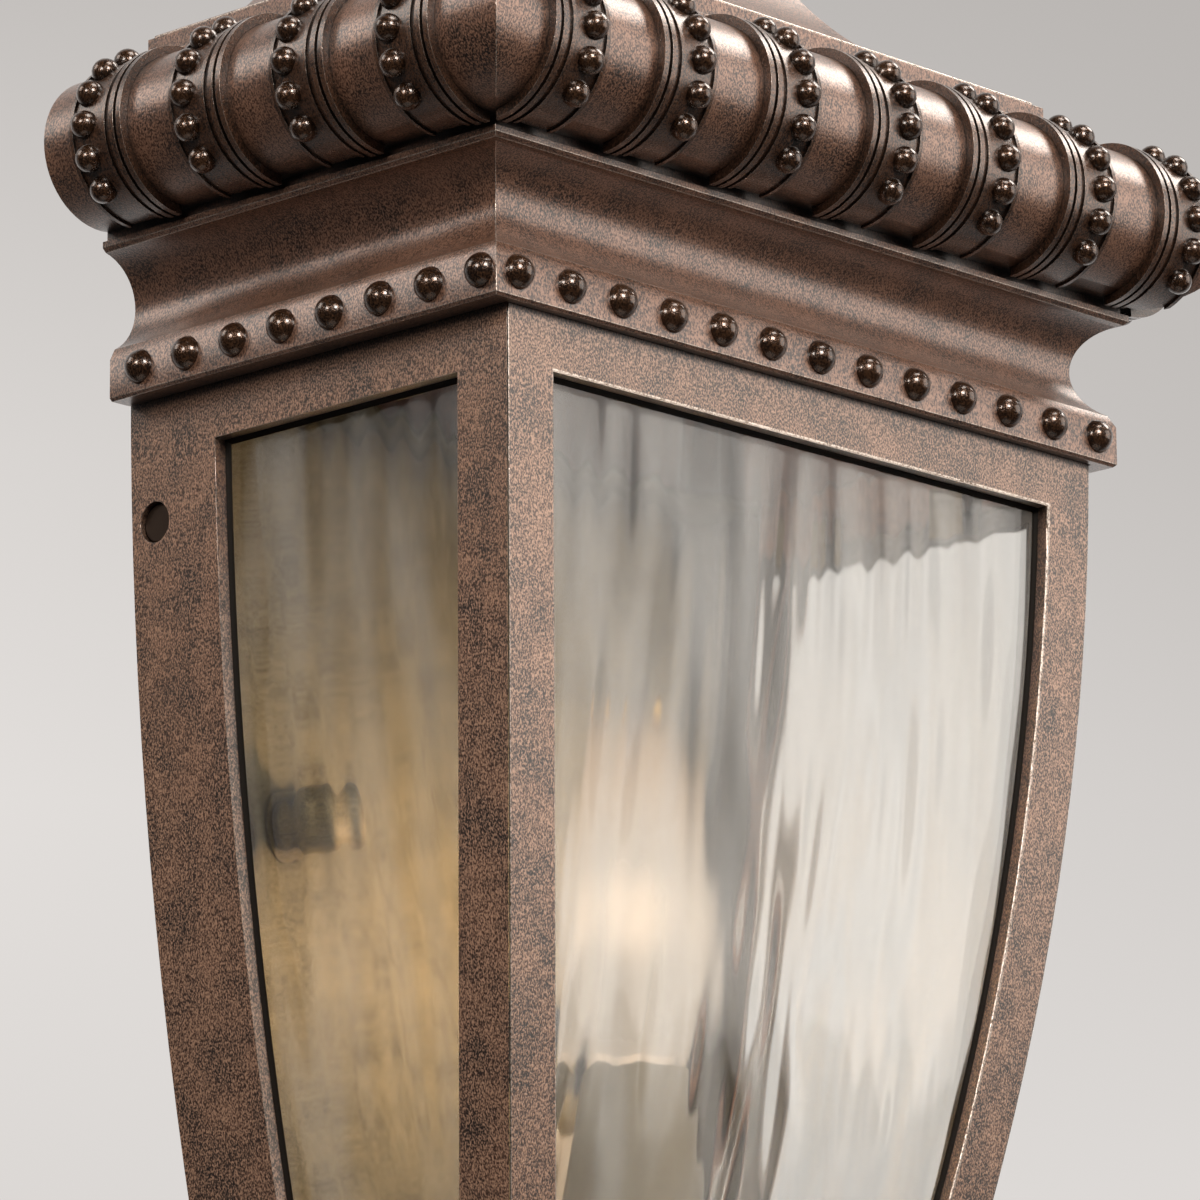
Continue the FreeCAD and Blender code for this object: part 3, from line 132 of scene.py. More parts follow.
world = bpy.data.worlds.new("pale studio")
world.use_nodes = True
scene.world = world
tree = world.node_tree
tree.nodes.clear()
direction = add(tree, "ShaderNodeTexCoord").outputs["Generated"]
parts = add(tree, "ShaderNodeSeparateXYZ", {"Vector": direction})
climb = add(tree, "ShaderNodeMapRange", {"Value": parts.outputs["Z"], "From Min": AIM_LOW, "From Max": AIM_HIGH})
across = add(tree, "ShaderNodeVectorMath", {0: direction, 1: CAMERA_RIGHT}, operation="DOT_PRODUCT")
sweep = add(tree, "ShaderNodeMapRange", {"Value": across.outputs["Value"], "From Min": -ACROSS, "From Max": ACROSS})
left_side = add(tree, "ShaderNodeValToRGB", {"Fac": climb.outputs["Result"]})
right_side = add(tree, "ShaderNodeValToRGB", {"Fac": climb.outputs["Result"]})
for ramp, tones in ((left_side, LEFT_TONES), (right_side, RIGHT_TONES)):
    stops = ramp.color_ramp.elements
    stops[0].color = srgb(tones[0])
    stops[1].color = srgb(tones[3])
    stops.new(LOWER_STOP).color = srgb(tones[1])
    stops.new(UPPER_STOP).color = srgb(tones[2])
backdrop = add(tree, "ShaderNodeMix", {0: sweep.outputs["Result"], 6: left_side.outputs["Color"],
                                       7: right_side.outputs["Color"]}, data_type="RGBA")
print("background from", LEFT_TONES[1], "at the left to", RIGHT_TONES[3], "at the upper right")

# %% Which rays see the background
DARK_ROOM = 0.04
ROOM_EDGE, BACKDROP_EDGE = 0.2, 0.8
SKY_LEVEL, GROUND_LEVEL = 0.05, 0.0
GROUND_AIM, SKY_AIM = -0.2, 0.9

path = add(tree, "ShaderNodeLightPath")
straight = add(tree, "ShaderNodeMath", {0: path.outputs["Is Camera Ray"], 1: path.outputs["Is Transmission Ray"]},
               operation="MAXIMUM")
shown = add(tree, "ShaderNodeMath", {0: straight.outputs[0], 1: path.outputs["Is Glossy Ray"]}, operation="MAXIMUM")
ahead = add(tree, "ShaderNodeVectorMath", {0: direction, 1: up.cross(right)}, operation="DOT_PRODUCT")
facing = add(tree, "ShaderNodeMapRange", {"Value": ahead.outputs["Value"], "From Min": ROOM_EDGE,
                                          "From Max": BACKDROP_EDGE, "To Min": DARK_ROOM})
bright = add(tree, "ShaderNodeMath", {0: straight.outputs[0], 1: facing.outputs["Result"]}, operation="MAXIMUM")
seen = add(tree, "ShaderNodeBackground", {"Color": backdrop.outputs[2], "Strength": bright.outputs[0]})
level = add(tree, "ShaderNodeMapRange", {"Value": parts.outputs["Z"], "From Min": GROUND_AIM,
                                         "From Max": SKY_AIM, "To Min": GROUND_LEVEL, "To Max": SKY_LEVEL})
ambient = add(tree, "ShaderNodeBackground", {"Color": srgb("#E4E2E0"), "Strength": level.outputs["Result"]})
mixed = add(tree, "ShaderNodeMixShader", {0: shown.outputs[0], 1: ambient.outputs[0], 2: seen.outputs[0]})
add(tree, "ShaderNodeOutputWorld", {"Surface": mixed.outputs[0]})
print("world of", len(tree.nodes), "nodes")

# %% [markdown]
# ## Soft boxes
# A soft box is a square lamp behind white cloth. An area lamp does the same: the larger it is, the softer its
# shadow and the duller its mirror image in the lacquer. All of them face the middle of the lantern.

# %% Soft boxes
LAMP_AIM = Vector((0, -0.05, 0.03))
LAMP_TINT = "#FFF8F0"
SOFT_BOXES = {
    "right soft box": ((1.35, -1.60, 0.50), 1.4, 12),
    "front soft box": ((-0.80, -1.80, 0.90), 0.6, 25),
    "left soft box": ((-1.85, -0.45, 0.65), 0.5, 11),
    "rear soft box": ((-1.20, 1.20, 1.20), 0.8, 6),
    "top soft box": ((0.0, -0.90, 1.90), 0.8, 14),
    "upper right soft box": ((1.40, -0.45, 1.60), 0.8, 14),
}


def soft_box(name, place, size, watts):
    """A square lamp that faces the lantern."""
    data = bpy.data.lights.new(name, "AREA")
    data.shape = "RECTANGLE"
    data.size = data.size_y = size
    data.energy = watts
    data.color = srgb(LAMP_TINT)[:3]
    lamp = bpy.data.objects.new(name, data)
    lamp.location = place
    lamp.rotation_mode = "QUATERNION"
    lamp.rotation_quaternion = (LAMP_AIM - Vector(place)).to_track_quat("-Z", "Y")
    scene.collection.objects.link(lamp)


for name, (place, size, watts) in SOFT_BOXES.items():
    soft_box(name, place, size, watts)
print(len(SOFT_BOXES), "soft boxes")

# %% [markdown]
# ## Filament and floor
# The bulb is lit, so a small warm point lamp stands where the filament is and lights the plate behind it. The
# lantern hangs at the height of a door lamp, so the floor lies far below it and out of the picture.

# %% Filament and floor
FILAMENT_WATTS = 0.22
FILAMENT_SIZE = 8 * MM
FILAMENT_PLACE = (0, -53 * MM, -18 * MM)
FILAMENT_TINT = "#FFD8B0"
FLOOR_DROP = -1.9
FLOOR_HALF = 0.9

filament_data = bpy.data.lights.new("filament", "POINT")
filament_data.energy = FILAMENT_WATTS
filament_data.shadow_soft_size = FILAMENT_SIZE
filament_data.color = srgb(FILAMENT_TINT)[:3]
filament = bpy.data.objects.new("filament", filament_data)
filament.location = FILAMENT_PLACE
filament.visible_camera = False
filament.visible_transmission = False
scene.collection.objects.link(filament)

floor_mesh = bpy.data.meshes.new("floor")
floor_mesh.from_pydata([(-FLOOR_HALF, -FLOOR_HALF, FLOOR_DROP), (FLOOR_HALF, -FLOOR_HALF, FLOOR_DROP),
                        (FLOOR_HALF, FLOOR_HALF, FLOOR_DROP), (-FLOOR_HALF, FLOOR_HALF, FLOOR_DROP)],
                       [], [(0, 1, 2, 3)])
floor = bpy.data.objects.new("floor", floor_mesh)
scene.collection.objects.link(floor)
print("filament of", FILAMENT_WATTS, "W, floor at", FLOOR_DROP, "m")

# %% [markdown]
# ## Finishes
# The metal is cast aluminium with a hand rubbed bronze finish: a dark brown paint, a lighter copper coat that is
# dabbed on and wiped off again, and a satin clear lacquer. It gives the eye a brown ground with fine pinkish
# flecks, a dark wash that stays in the hollows, and bare copper along the edges where the cloth rubbed hardest. The
# flecks are noise on Object coordinates, a little taller than wide. The darkening follows the shader's own measure of
# how closed in a spot is, and it reaches well past the hollows: besides the wash it is painted shade, under the roll,
# in the coves, round the straps and in the window reveals. The edges that the cloth rubbed are the faces of the
# bevels, so they follow every moulding without being painted by hand; their pale colour is wear and a painted
# highlight.

# %% A rubbed finish
GRAIN_WIDE = 0.34 * MM
GRAIN_TALL = 0.5 * MM
CLOUD = 9 * MM
PEEL = 0.6 * MM
# Reach and colour of the darkening in closed-in spots: a dark wash in the hollows, and painted shade.
WASH_AND_SHADE_REACH = 13 * MM
FLECK_SPREAD = 0.23
WASH_AND_SHADE_COLOUR = "#0C0704"
RELIEF = 0.08 * MM


def rubbed_bronze(name, umber, brown, copper, bare, roughness, metallic=0.1, specular=0.34, coat=0.0, shine=0.1):
    """Brown paint under wiped copper. bare is the noise level from which copper shows."""
    material = bpy.data.materials.new(name)
    material.use_nodes = True
    tree = material.node_tree
    tree.nodes.clear()
    where = add(tree, "ShaderNodeTexCoord").outputs["Object"]
    clouds = add(tree, "ShaderNodeTexNoise", {"Vector": where, "Scale": 1 / CLOUD, "Detail": 4.0, "Roughness": 0.6})
    ground = add(tree, "ShaderNodeMapRange", {"Value": clouds.outputs["Fac"], "From Min": 0.35, "From Max": 0.65})
    paint = add(tree, "ShaderNodeMix", {0: ground.outputs["Result"], 6: srgb(umber), 7: srgb(brown)},
                data_type="RGBA")
    stretch = add(tree, "ShaderNodeMapping", {"Vector": where,
                                              "Scale": (1 / GRAIN_WIDE, 1 / GRAIN_WIDE, 1 / GRAIN_TALL)})
    dabs = add(tree, "ShaderNodeTexNoise", {"Vector": stretch.outputs[0], "Scale": 1.0, "Detail": 2.0,
                                            "Roughness": 0.5})
    drift = add(tree, "ShaderNodeMath", {0: clouds.outputs["Fac"], 1: 0.2, 2: dabs.outputs["Fac"]},
                operation="MULTIPLY_ADD")
    flecks = add(tree, "ShaderNodeMapRange", {"Value": drift.outputs[0], "From Min": bare,
                                              "From Max": bare + FLECK_SPREAD})
    rubbed = add(tree, "ShaderNodeMix", {0: flecks.outputs["Result"], 6: paint.outputs[2], 7: srgb(copper)},
                 data_type="RGBA")
    # Darkening by how closed in a spot is: the dark wash in the hollows, and painted shade under the roll, in the
    # coves and round the straps.
    hollow = add(tree, "ShaderNodeAmbientOcclusion", {"Distance": WASH_AND_SHADE_REACH}, samples=6)
    open_share = add(tree, "ShaderNodeMapRange", {"Value": hollow.outputs["AO"], "From Min": 0.3, "From Max": 0.92,
                                               "To Min": 0.08})
    colour = add(tree, "ShaderNodeMix", {0: open_share.outputs["Result"], 6: srgb(WASH_AND_SHADE_COLOUR), 7: rubbed.outputs[2]},
                 data_type="RGBA")
    gloss = add(tree, "ShaderNodeMapRange", {"Value": flecks.outputs["Result"], "To Min": roughness,
                                             "To Max": roughness - 0.1})
    peel = add(tree, "ShaderNodeTexNoise", {"Vector": where, "Scale": 1 / PEEL, "Detail": 1.0})
    relief = add(tree, "ShaderNodeMath", {0: flecks.outputs["Result"], 1: 0.6, 2: peel.outputs["Fac"]},
                 operation="MULTIPLY_ADD")
    bump = add(tree, "ShaderNodeBump", {"Height": relief.outputs[0], "Strength": 0.5, "Distance": RELIEF})
    skin = add(tree, "ShaderNodeBsdfPrincipled", {
        "Base Color": colour.outputs[2], "Roughness": gloss.outputs["Result"], "Metallic": metallic,
        "Specular IOR Level": specular, "Coat Weight": coat, "Coat Roughness": shine, "Normal": bump.outputs[0]})
    add(tree, "ShaderNodeOutputMaterial", {"Surface": skin.outputs[0]})
    return material


print("flecks of", round(GRAIN_WIDE / MM, 2), "by", round(GRAIN_TALL / MM, 2), "mm")

# %% Bronze finishes
# Painted and rubbed castings: flat faces with a satin sheen under the flecks.
bronze = rubbed_bronze("hand rubbed bronze", "#1E0E08", "#52301E", "#D0A488", 0.515, 0.42, metallic=0.1, specular=1.0,
                       coat=0.8, shine=0.36)
# Edges that the cloth rubbed bare, made paler still as a painted highlight: pale lines that stand for the light they
# catch.
edge_wear_and_highlight = rubbed_bronze("bronze rubbed bare, painted highlight", "#6E5848", "#A48E7E", "#EADBCF", 0.44, 0.26, metallic=0.6,
                            specular=0.9)
# Mouldings, which a hand polishes more as it goes along them: darker, with broad soft streaks of light.
moulding_bronze = rubbed_bronze("hand rubbed bronze, burnished", "#201009", "#52301F", "#AE826A", 0.49, 0.38,
                                metallic=0.28, specular=1.0, coat=1.0, shine=0.3)
# Straps, where the dark wash and painted shade stay between the beads.
strap_bronze = rubbed_bronze("bronze with a dark wash and painted shade", "#160B06", "#38200F", "#86604A", 0.50, 0.36, metallic=0.4,
                             specular=1.0, coat=1.0, shine=0.26)
# Beads: dark brown under a full lacquer, each with small sharp highlights.
bead_bronze = rubbed_bronze("dark lacquered bronze", "#24140C", "#36200F", "#6E4C34", 0.52, 0.28, metallic=0.55,
                            specular=0.9, coat=1.0, shine=0.08)
# Sheet of the back plate: dull olive paint, without lacquer.
plate_bronze = rubbed_bronze("olive bronze paint", "#58513C", "#7C7358", "#968C70", 0.48, 0.6, specular=0.05)
# The same paint on the rim, painted darker as shade, because the rim stands in the shade of the frames.
rim_painted_shade = rubbed_bronze("olive bronze paint, darkened as painted shade", "#2C291F", "#3C392C", "#4A4738", 0.50, 0.6, specular=0.05)
# Turned knobs with dulled olive paint.
knob_bronze = rubbed_bronze("turned bronze", "#5C5030", "#7C6C46", "#A49264", 0.50, 0.5, metallic=0.1)
print(sum("bronze" in m.name for m in bpy.data.materials), "finishes of bronze")

# %% [markdown]
# ## Glass and the plain inner finishes
# The panes are drawn water glass: clear, with long upright ripples that bend what is seen through them. A bump on
# Object coordinates makes the ripples, stretched upwards, because the refraction follows the bumped normal. The
# bulb is frosted and lit, so its material gives light. The small inner pieces are plain plastics and metals with
# a little moulded grain or brushing.

# %% A plain finish
# The real grain of a moulding and the lines of a brush are finer than this. They are drawn as coarse as they need
# to show.
MOULDED_GRAIN = 0.4 * MM
SHADE = 0.85


def plain(name, colour, roughness, metallic=0.0, grain=MOULDED_GRAIN, depth=0.02 * MM, stretch=1.0, specular=0.5):
    """A smooth finish with a fine grain; stretch draws the grain out along X, as a brush does."""
    material = bpy.data.materials.new(name)
    material.use_nodes = True
    tree = material.node_tree
    tree.nodes.clear()
    where = add(tree, "ShaderNodeTexCoord").outputs["Object"]
    size = add(tree, "ShaderNodeMapping", {"Vector": where, "Scale": (1 / (grain * stretch), 1 / grain, 1 / grain)})
    noise = add(tree, "ShaderNodeTexNoise", {"Vector": size.outputs[0], "Scale": 1.0, "Detail": 2.0})
    tint = add(tree, "ShaderNodeMix", {0: noise.outputs["Fac"], 6: srgb(colour),
                                       7: [SHADE * c for c in srgb(colour)[:3]] + [1.0]}, data_type="RGBA")
    bump = add(tree, "ShaderNodeBump", {"Height": noise.outputs["Fac"], "Strength": 0.4, "Distance": depth})
    skin = add(tree, "ShaderNodeBsdfPrincipled", {
        "Base Color": tint.outputs[2], "Roughness": roughness, "Metallic": metallic,
        "Specular IOR Level": specular, "Normal": bump.outputs[0]})
    add(tree, "ShaderNodeOutputMaterial", {"Surface": skin.outputs[0]})
    return material


print("grain of", round(MOULDED_GRAIN / MM, 2), "mm on plain finishes")

# %% Water glass
RIPPLE_WIDE = 7 * MM
RIPPLE_TALL = 55 * MM
RIPPLE_DEEP = 1.1 * MM
HAZE = 0.08


def water_glass(name, clear):
    """Rippled window glass. clear is the share of light that passes; the rest is haze, in streaks."""
    material = bpy.data.materials.new(name)
    material.use_nodes = True
    tree = material.node_tree
    tree.nodes.clear()
    where = add(tree, "ShaderNodeTexCoord").outputs["Object"]
    size = add(tree, "ShaderNodeMapping", {"Vector": where,
                                           "Scale": (1 / RIPPLE_WIDE, 1 / RIPPLE_WIDE, 1 / RIPPLE_TALL)})
    ripple = add(tree, "ShaderNodeTexNoise", {"Vector": size.outputs[0], "Scale": 1.0, "Detail": 0.0})
    bump = add(tree, "ShaderNodeBump", {"Height": ripple.outputs["Fac"], "Strength": 0.7, "Distance": RIPPLE_DEEP})
    streaks = add(tree, "ShaderNodeMapRange", {"Value": ripple.outputs["Fac"], "From Min": 0.35, "From Max": 0.65,
                                               "To Min": clear - HAZE, "To Max": min(1.0, clear + HAZE)})
    skin = add(tree, "ShaderNodeBsdfPrincipled", {
        "Base Color": srgb("#FAFAF8"), "Roughness": 0.07, "IOR": 1.5, "Transmission Weight": streaks.outputs["Result"],
        "Normal": bump.outputs[0]})
    add(tree, "ShaderNodeOutputMaterial", {"Surface": skin.outputs[0]})
    return material


# Drawn glass: soft upright streaks, and a bent picture of what lies behind. The front pane is a little hazier.
front_glass = water_glass("drawn water glass, hazy", 0.92)
side_glass = water_glass("drawn water glass, clear", 0.97)
print("glass with ripples", round(RIPPLE_WIDE / MM), "mm wide and", round(RIPPLE_TALL / MM), "mm tall")

# %% Inner finishes
# Bare metals: brushed sheet, turned brass and bright plating, each with its own width of highlight.
steel = plain("brushed steel", "#B9B8B4", 0.32, 1.0, stretch=12)
brass = plain("turned brass", "#B8924A", 0.3, 1.0)
cap_metal = plain("nickel plate", "#C4C2BC", 0.28, 1.0)
# Card and plastics: dull cream, and mouldings whose fine grain breaks the highlight.
cream = plain("cream candle sleeve", "#ACA494", 0.55, grain=1.2 * MM)
black_plastic = plain("black phenolic", "#1C1B1A", 0.4)
white_plastic = plain("white nylon", "#E8E6E0", 0.45)
lead_cover = plain("black lead cover", "#171717", 0.35)
# Rubber, sealant and foam: black and nearly without shine.
rubber = plain("black rubber", "#161616", 0.7)
sealant = plain("black sealant", "#1A140E", 0.6, specular=0.15)
foam = plain("closed cell foam", "#2A2A2A", 0.9, grain=0.8 * MM, depth=0.2 * MM)
# Blackened steel, which still glints at the bottom of its recess.
screw_bronze = plain("blackened screw", "#5C4C42", 0.3, 0.8)
# Painted floor with faint broad clouds.
floor_mesh.materials.append(plain("pale floor", "#DAD7D4", 0.7, grain=30 * MM))
print(len(bpy.data.materials), "materials so far")

# %% [markdown]
# ## The lit bulb
# A frosted bulb glows most where the filament stands and fades towards its tip and its rim, where more of the clear
# glass is seen edge on. A mix of a glowing skin with plain see-through does that: the share of the skin falls with
# the height and with the angle to the eye, and its colour turns from white to amber on the way up.

# %% Lit bulb
FULL_GLOW = -18 * MM
RIM_FALL = 1.6
GLOW_STRENGTH = 0.55

bulb_foot, bulb_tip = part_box("bulb_glass")
lit_bulb = bpy.data.materials.new("frosted bulb glass")
lit_bulb.use_nodes = True
tree = lit_bulb.node_tree
tree.nodes.clear()
spot = add(tree, "ShaderNodeSeparateXYZ", {"Vector": add(tree, "ShaderNodeTexCoord").outputs["Object"]})
fade = add(tree, "ShaderNodeMapRange", {"Value": spot.outputs["Z"], "From Min": bulb_tip.z, "From Max": FULL_GLOW},
           interpolation_type="SMOOTHSTEP")
rim = add(tree, "ShaderNodeLayerWeight", {"Blend": 0.5})
inward = add(tree, "ShaderNodeMath", {0: 1.0, 1: rim.outputs["Facing"]}, operation="SUBTRACT")
middle = add(tree, "ShaderNodeMath", {0: inward.outputs[0], 1: RIM_FALL}, operation="POWER")
skin_share = add(tree, "ShaderNodeMath", {0: middle.outputs[0], 1: fade.outputs["Result"]}, operation="MULTIPLY")
glow = add(tree, "ShaderNodeMix", {0: fade.outputs["Result"], 6: srgb("#FFC78C"), 7: srgb("#FFEAD2")},
           data_type="RGBA")
skin = add(tree, "ShaderNodeBsdfPrincipled", {"Base Color": srgb("#1A1816"), "Roughness": 0.5,
                                              "Emission Color": glow.outputs[2], "Emission Strength": GLOW_STRENGTH})
clear = add(tree, "ShaderNodeBsdfTransparent")
blend = add(tree, "ShaderNodeMixShader", {0: skin_share.outputs[0], 1: clear.outputs[0], 2: skin.outputs[0]})
add(tree, "ShaderNodeOutputMaterial", {"Surface": blend.outputs[0]})
print("bulb from", round(bulb_foot.z / MM, 1), "to", round(bulb_tip.z / MM, 1), "mm")

# %% [markdown]
# ## Dressing the solids
# A solid's mesh is loose triangles with knife edges. A copy of it is merged, its flat faces are joined again, and
# its outer edges are marked by their angle. A bevel then rounds only these and gives the new faces the second
# finish. That is how the worn edges with their painted highlight come about, on the frames and mouldings alike. A
# copy stays in place, because the solids already sit where they belong.

# %% Dress a solid
WELD = 0.002 * MM
FLAT_ANGLE = math.radians(0.05)
SHARP_ANGLE = math.radians(28)


def dress(name, finishes, edge=0.0, steps=2):
    """Copies a solid, joins its faces, marks and rounds its outer edges, and puts the copy in its place."""
    source = frame["nodes"][name]
    mesh = source.data.copy()
    mesh.name = name + "_dressed"
    bm = bmesh.new()
    bm.from_mesh(mesh)
    bmesh.ops.remove_doubles(bm, verts=bm.verts, dist=WELD)
    bmesh.ops.dissolve_limit(bm, angle_limit=FLAT_ANGLE, verts=bm.verts, edges=bm.edges)
    weight = bm.edges.layers.float.new("bevel_weight_edge")
    marked = 0
    for face in bm.faces:
        face.smooth = True
        face.material_index = 0
    for line in bm.edges:
        bent = len(line.link_faces) == 2 and line.calc_face_angle() > SHARP_ANGLE
        line.smooth = not bent
        if bent and line.is_convex and edge:
            line[weight] = 1.0
            marked += 1
    bm.to_mesh(mesh)
    bm.free()
    if "custom_normal" in mesh.attributes:
        mesh.attributes.remove(mesh.attributes["custom_normal"])
    mesh.materials.clear()
    for finish in finishes:
        mesh.materials.append(finish)
    piece = bpy.data.objects.new(name + "_dressed", mesh)
    scene.collection.objects.link(piece)
    if edge:
        # The bevel faces take the second finish: wear and a painted highlight.
        bevel = piece.modifiers.new("worn and highlighted edges", "BEVEL")
        bevel.limit_method = "WEIGHT"
        bevel.width = edge
        bevel.segments = steps
        bevel.material = 1
        bevel.harden_normals = True
        bevel.use_clamp_overlap = True
    body = next(b for b, members in frame["record"]["behaviour"]["bodies"].items() if name in members)
    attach(piece, body)
    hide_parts(name)
    print(name, len(mesh.polygons), "faces,", marked, "rounded edges")
    return piece


# %% Dress the solids
for name in ("front_frame", "left_frame", "right_frame"):
    dress(name, [bronze, edge_wear_and_highlight], 0.45 * MM)
for name in ("cornice", "roof", "roof_cap", "base_moulding", "top_finial", "bottom_finial"):
    dress(name, [moulding_bronze, edge_wear_and_highlight], 0.4 * MM)
dress("roll_straps", [strap_bronze, edge_wear_and_highlight], 0.35 * MM, 3)
dress("front_glass", [front_glass])
dress("left_glass", [side_glass])
dress("right_glass", [side_glass])
dress("fixing_knobs", [knob_bronze, knob_bronze], 0.5 * MM)
dress("locking_screws", [screw_bronze, screw_bronze], 0.3 * MM)
bulb = dress("bulb_glass", [lit_bulb])
bulb.visible_shadow = False

# %% [markdown]
# ## Glazing seals
# A pane lies in a rebate behind its window, and a fillet of black sealant closes the step between the pane's face
# and the frame. It shows as the dark line round each pane. A fillet like this could be a bevelled curve, but a
# window's sides are curved in two directions, so here nested outlines of the window, each a little further in and
# lower, are joined ring by ring, and the last to the first, into one closed fillet.

# %% Outline of a window
CAGE_WIDTH, CAGE_OFFSET = 84.4, 19.5
CAGE_RADIUS, CAGE_CROWN = 812.0, 88.6
WINDOW_LOW, WINDOW_HIGH = -113.0, 68.5
FRONT_STILE, SIDE_STILE, REAR_STILE = 12.6, 13.2, 24.0
PANE_INSET = 3.5
SEAL_STEPS = 24


def cage_half_width(inset, height):
    """Half width of the curved cage, or of a curve set inside it, at a height."""
    return CAGE_WIDTH - CAGE_RADIUS + math.sqrt((CAGE_RADIUS - inset) ** 2 - (CAGE_CROWN - height) ** 2)


def window_ring(side, inward, rise):
    """A ring round a window in millimetres: side 0 is the front, -1 the left and 1 the right."""
    low, high = WINDOW_LOW + inward, WINDOW_HIGH - inward
    near, far = [], []
    for step in range(SEAL_STEPS + 1):
        height = low + (high - low) * step / SEAL_STEPS
        edge = cage_half_width(0, height)
        face = cage_half_width(PANE_INSET - rise, height)
        if side == 0:
            reach = edge - FRONT_STILE - inward
            near.append((-reach, -face - CAGE_OFFSET, height))
            far.append((reach, -face - CAGE_OFFSET, height))
        else:
            near.append((side * face, -edge - CAGE_OFFSET + SIDE_STILE + inward, height))
            far.append((side * face, -REAR_STILE - inward, height))
    return near + far[::-1]


print("front window", round(2 * (cage_half_width(0, WINDOW_HIGH) - FRONT_STILE), 1), "mm wide at its top")

# %% Seal the windows
FILLET = ((0.05, 0.02), (0.05, 0.8), (0.3, 0.5), (0.6, 0.2), (1.0, 0.02))


def seal(name, side):
    """A fillet of sealant round one window."""
    rings = [window_ring(side, inward, rise) for inward, rise in FILLET]
    count = len(rings[0])
    mesh = bpy.data.meshes.new(name)
    faces = []
    for ring in range(len(rings)):
        inner = (ring + 1) % len(rings)
        for k in range(count):
            after = (k + 1) % count
            faces.append((ring * count + k, ring * count + after, inner * count + after, inner * count + k))
    mesh.from_pydata([[c * MM for c in point] for ring in rings for point in ring], [], faces)
    bm = bmesh.new()
    bm.from_mesh(mesh)
    bmesh.ops.recalc_face_normals(bm, faces=bm.faces)
    bm.to_mesh(mesh)
    bm.free()
    mesh.materials.append(sealant)
    piece = bpy.data.objects.new(name, mesh)
    scene.collection.objects.link(piece)
    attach(piece, "cage")
    print(name, len(faces), "faces")


for name, side in (("front_seal", 0), ("left_seal", -1), ("right_seal", 1)):
    seal(name, side)

# %% [markdown]
# ## Beads
# The beads are cast with the cornice: low domes on the strip and half balls on the straps. Each is a small smooth
# ball that is sunk to its middle, or deeper, in what carries it. A Geometry Nodes tree sets one ball on every point
# of a list and turns it to point outwards, so one tree serves both sizes. The result is made a plain mesh, because
# the export drops instances.

# %% Places of the beads
ROLL_BELOW_TOP = 27.2
ROLL_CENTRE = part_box("cornice")[1].z / MM - ROLL_BELOW_TOP
ROLL_WIDTH, ROLL_REACH = 92.8, 109.4
ROLL_RADIUS = 15.2
STRAP_FACE = ROLL_RADIUS + 0.95
BEAD_SHIFT = 3.55
TOP_BEAD, BEAD_STEP = 72.0, 23.8
STRAP_PITCH, STRAP_OFFSET = 29.5, 2.1
SIDE_STRAP_PITCH, SIDE_STRAP_START = 28.1, -16.6
STRIP_WIDTH, STRIP_REACH, STRIP_LINE = 90.0, 106.6, 84.7
STRIP_PITCH = 14.0
SIDE_STRIP_PITCH, SIDE_STRIP_START = 13.4, -102.4

strip_spots = [((x * STRIP_PITCH, -STRIP_REACH, STRIP_LINE), (0, -1, 0)) for x in range(-6, 7)]
for side in (-1, 1):
    strip_spots += [((side * STRIP_WIDTH, n * SIDE_STRIP_PITCH + SIDE_STRIP_START, STRIP_LINE), (side, 0, 0))
                    for n in range(8)]

strap_spots = []
for step in range(6):
    angle = math.radians(TOP_BEAD - BEAD_STEP * step)
    out, rise = math.cos(angle), math.sin(angle)
    height = ROLL_CENTRE + STRAP_FACE * rise
    for x in range(-3, 4):
        strap_spots.append(((x * STRAP_PITCH + STRAP_OFFSET + BEAD_SHIFT, -ROLL_REACH - STRAP_FACE * out, height),
                            (0, -out, rise)))
    for side in (-1, 1):
        for n in range(4):
            along = SIDE_STRAP_START - SIDE_STRAP_PITCH * n + BEAD_SHIFT
            strap_spots.append(((side * (ROLL_WIDTH + STRAP_FACE * out), along, height), (side * out, 0, rise)))
print(len(strip_spots), "beads on the strip,", len(strap_spots), "on the straps")

# %% A tree that sets beads
bead_tree = bpy.data.node_groups.new("set beads", "GeometryNodeTree")
bead_tree.interface.new_socket("Geometry", in_out="INPUT", socket_type="NodeSocketGeometry")
radius_socket = bead_tree.interface.new_socket("Bead radius", in_out="INPUT", socket_type="NodeSocketFloat")
height_socket = bead_tree.interface.new_socket("Centre height", in_out="INPUT", socket_type="NodeSocketFloat")
finish_socket = bead_tree.interface.new_socket("Finish", in_out="INPUT", socket_type="NodeSocketMaterial")
bead_tree.interface.new_socket("Geometry", in_out="OUTPUT", socket_type="NodeSocketGeometry")
entry = add(bead_tree, "NodeGroupInput")
ball = add(bead_tree, "GeometryNodeMeshUVSphere", {"Segments": 18, "Rings": 10,
                                                   "Radius": entry.outputs["Bead radius"]})
smooth = add(bead_tree, "GeometryNodeSetShadeSmooth", {"Geometry": ball.outputs["Mesh"]})
lift = add(bead_tree, "ShaderNodeCombineXYZ", {"Z": entry.outputs["Centre height"]})
raised = add(bead_tree, "GeometryNodeTransform", {"Geometry": smooth.outputs[0], "Translation": lift.outputs[0]})
outward = add(bead_tree, "GeometryNodeInputNamedAttribute", {"Name": "outward"}, data_type="FLOAT_VECTOR")
turn = add(bead_tree, "FunctionNodeAlignRotationToVector", {"Vector": outward.outputs[0]}, axis="Z")
spread = add(bead_tree, "GeometryNodeInstanceOnPoints", {
    "Points": entry.outputs["Geometry"], "Instance": raised.outputs[0], "Rotation": turn.outputs[0]})
real = add(bead_tree, "GeometryNodeRealizeInstances", {"Geometry": spread.outputs[0]})
painted = add(bead_tree, "GeometryNodeSetMaterial", {"Geometry": real.outputs[0],
                                                     "Material": entry.outputs["Finish"]})
add(bead_tree, "NodeGroupOutput", {"Geometry": painted.outputs[0]})
print("bead tree of", len(bead_tree.nodes), "nodes")

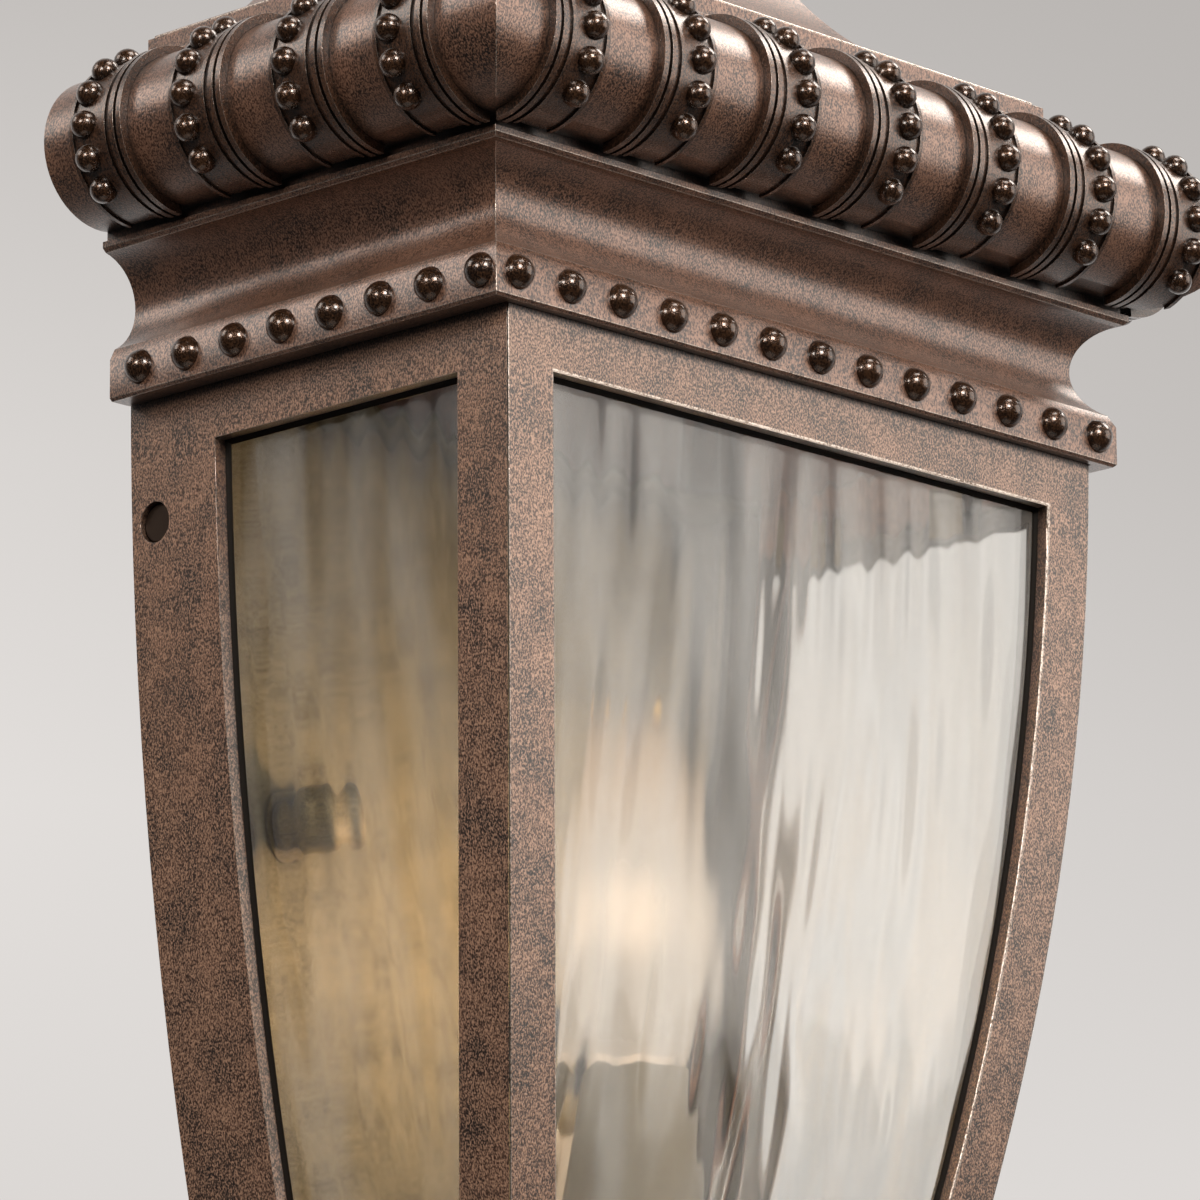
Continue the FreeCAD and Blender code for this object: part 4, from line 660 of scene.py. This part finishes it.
# %% Set the beads
STRIP_BEAD, STRIP_BEAD_CENTRE = 3.55, -0.6
STRAP_BEAD, STRAP_BEAD_CENTRE = 2.85, 0.05


def set_beads(name, spots, radius, height, node):
    """Puts a bead on every spot and replaces a node's faceted beads with them."""
    points = bpy.data.meshes.new(name + "_points")
    points.from_pydata([[c * MM for c in spot] for spot, way in spots], [], [])
    way_out = points.attributes.new("outward", "FLOAT_VECTOR", "POINT")
    way_out.data.foreach_set("vector", [c for spot, way in spots for c in way])
    piece = bpy.data.objects.new(name, points)
    scene.collection.objects.link(piece)
    nodes = piece.modifiers.new("set beads", "NODES")
    nodes.node_group = bead_tree
    nodes[radius_socket.identifier] = radius * MM
    nodes[height_socket.identifier] = height * MM
    nodes[finish_socket.identifier] = bead_bronze
    solid = bpy.data.meshes.new_from_object(piece.evaluated_get(bpy.context.evaluated_depsgraph_get()))
    piece.modifiers.remove(nodes)
    piece.data = solid
    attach(piece, "cage")
    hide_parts(node)
    print(name, len(solid.polygons), "faces")


set_beads("strip_beads_round", strip_spots, STRIP_BEAD, STRIP_BEAD_CENTRE, "strip_beads")
set_beads("strap_beads_round", strap_spots, STRAP_BEAD, STRAP_BEAD_CENTRE, "strap_beads")

# %% [markdown]
# ## The pieces that keep their solids
# The plate and the small inner pieces already have their shape: sheet, turnings and mouldings with plain edges, most
# of them behind rippled glass. A copy with rounded edges would add faces that nobody sees, so each only gets its
# finish.

# %% Finish the inner pieces
FINISHES = {
    "back_plate": plate_bronze, "plate_rim": rim_painted_shade, "wall_gasket": foam, "knob_washers": knob_bronze,
    "cable_bush": rubber, "terminal_block": white_plastic, "earth_screw": brass, "lamp_bracket": steel,
    "bracket_screws": steel, "holder_nipple": brass, "nipple_nut": brass, "lamp_holder": black_plastic,
    "lamp_leads": lead_cover, "candle_sleeve": cream, "bulb_cap": cap_metal, "pane_clips": plate_bronze,
}
for name, finish in FINISHES.items():
    slots = frame["nodes"][name].data.materials
    if not len(slots):
        slots.append(finish)
    for index in range(len(slots)):
        slots[index] = finish
print("finished", len(FINISHES), "inner pieces")
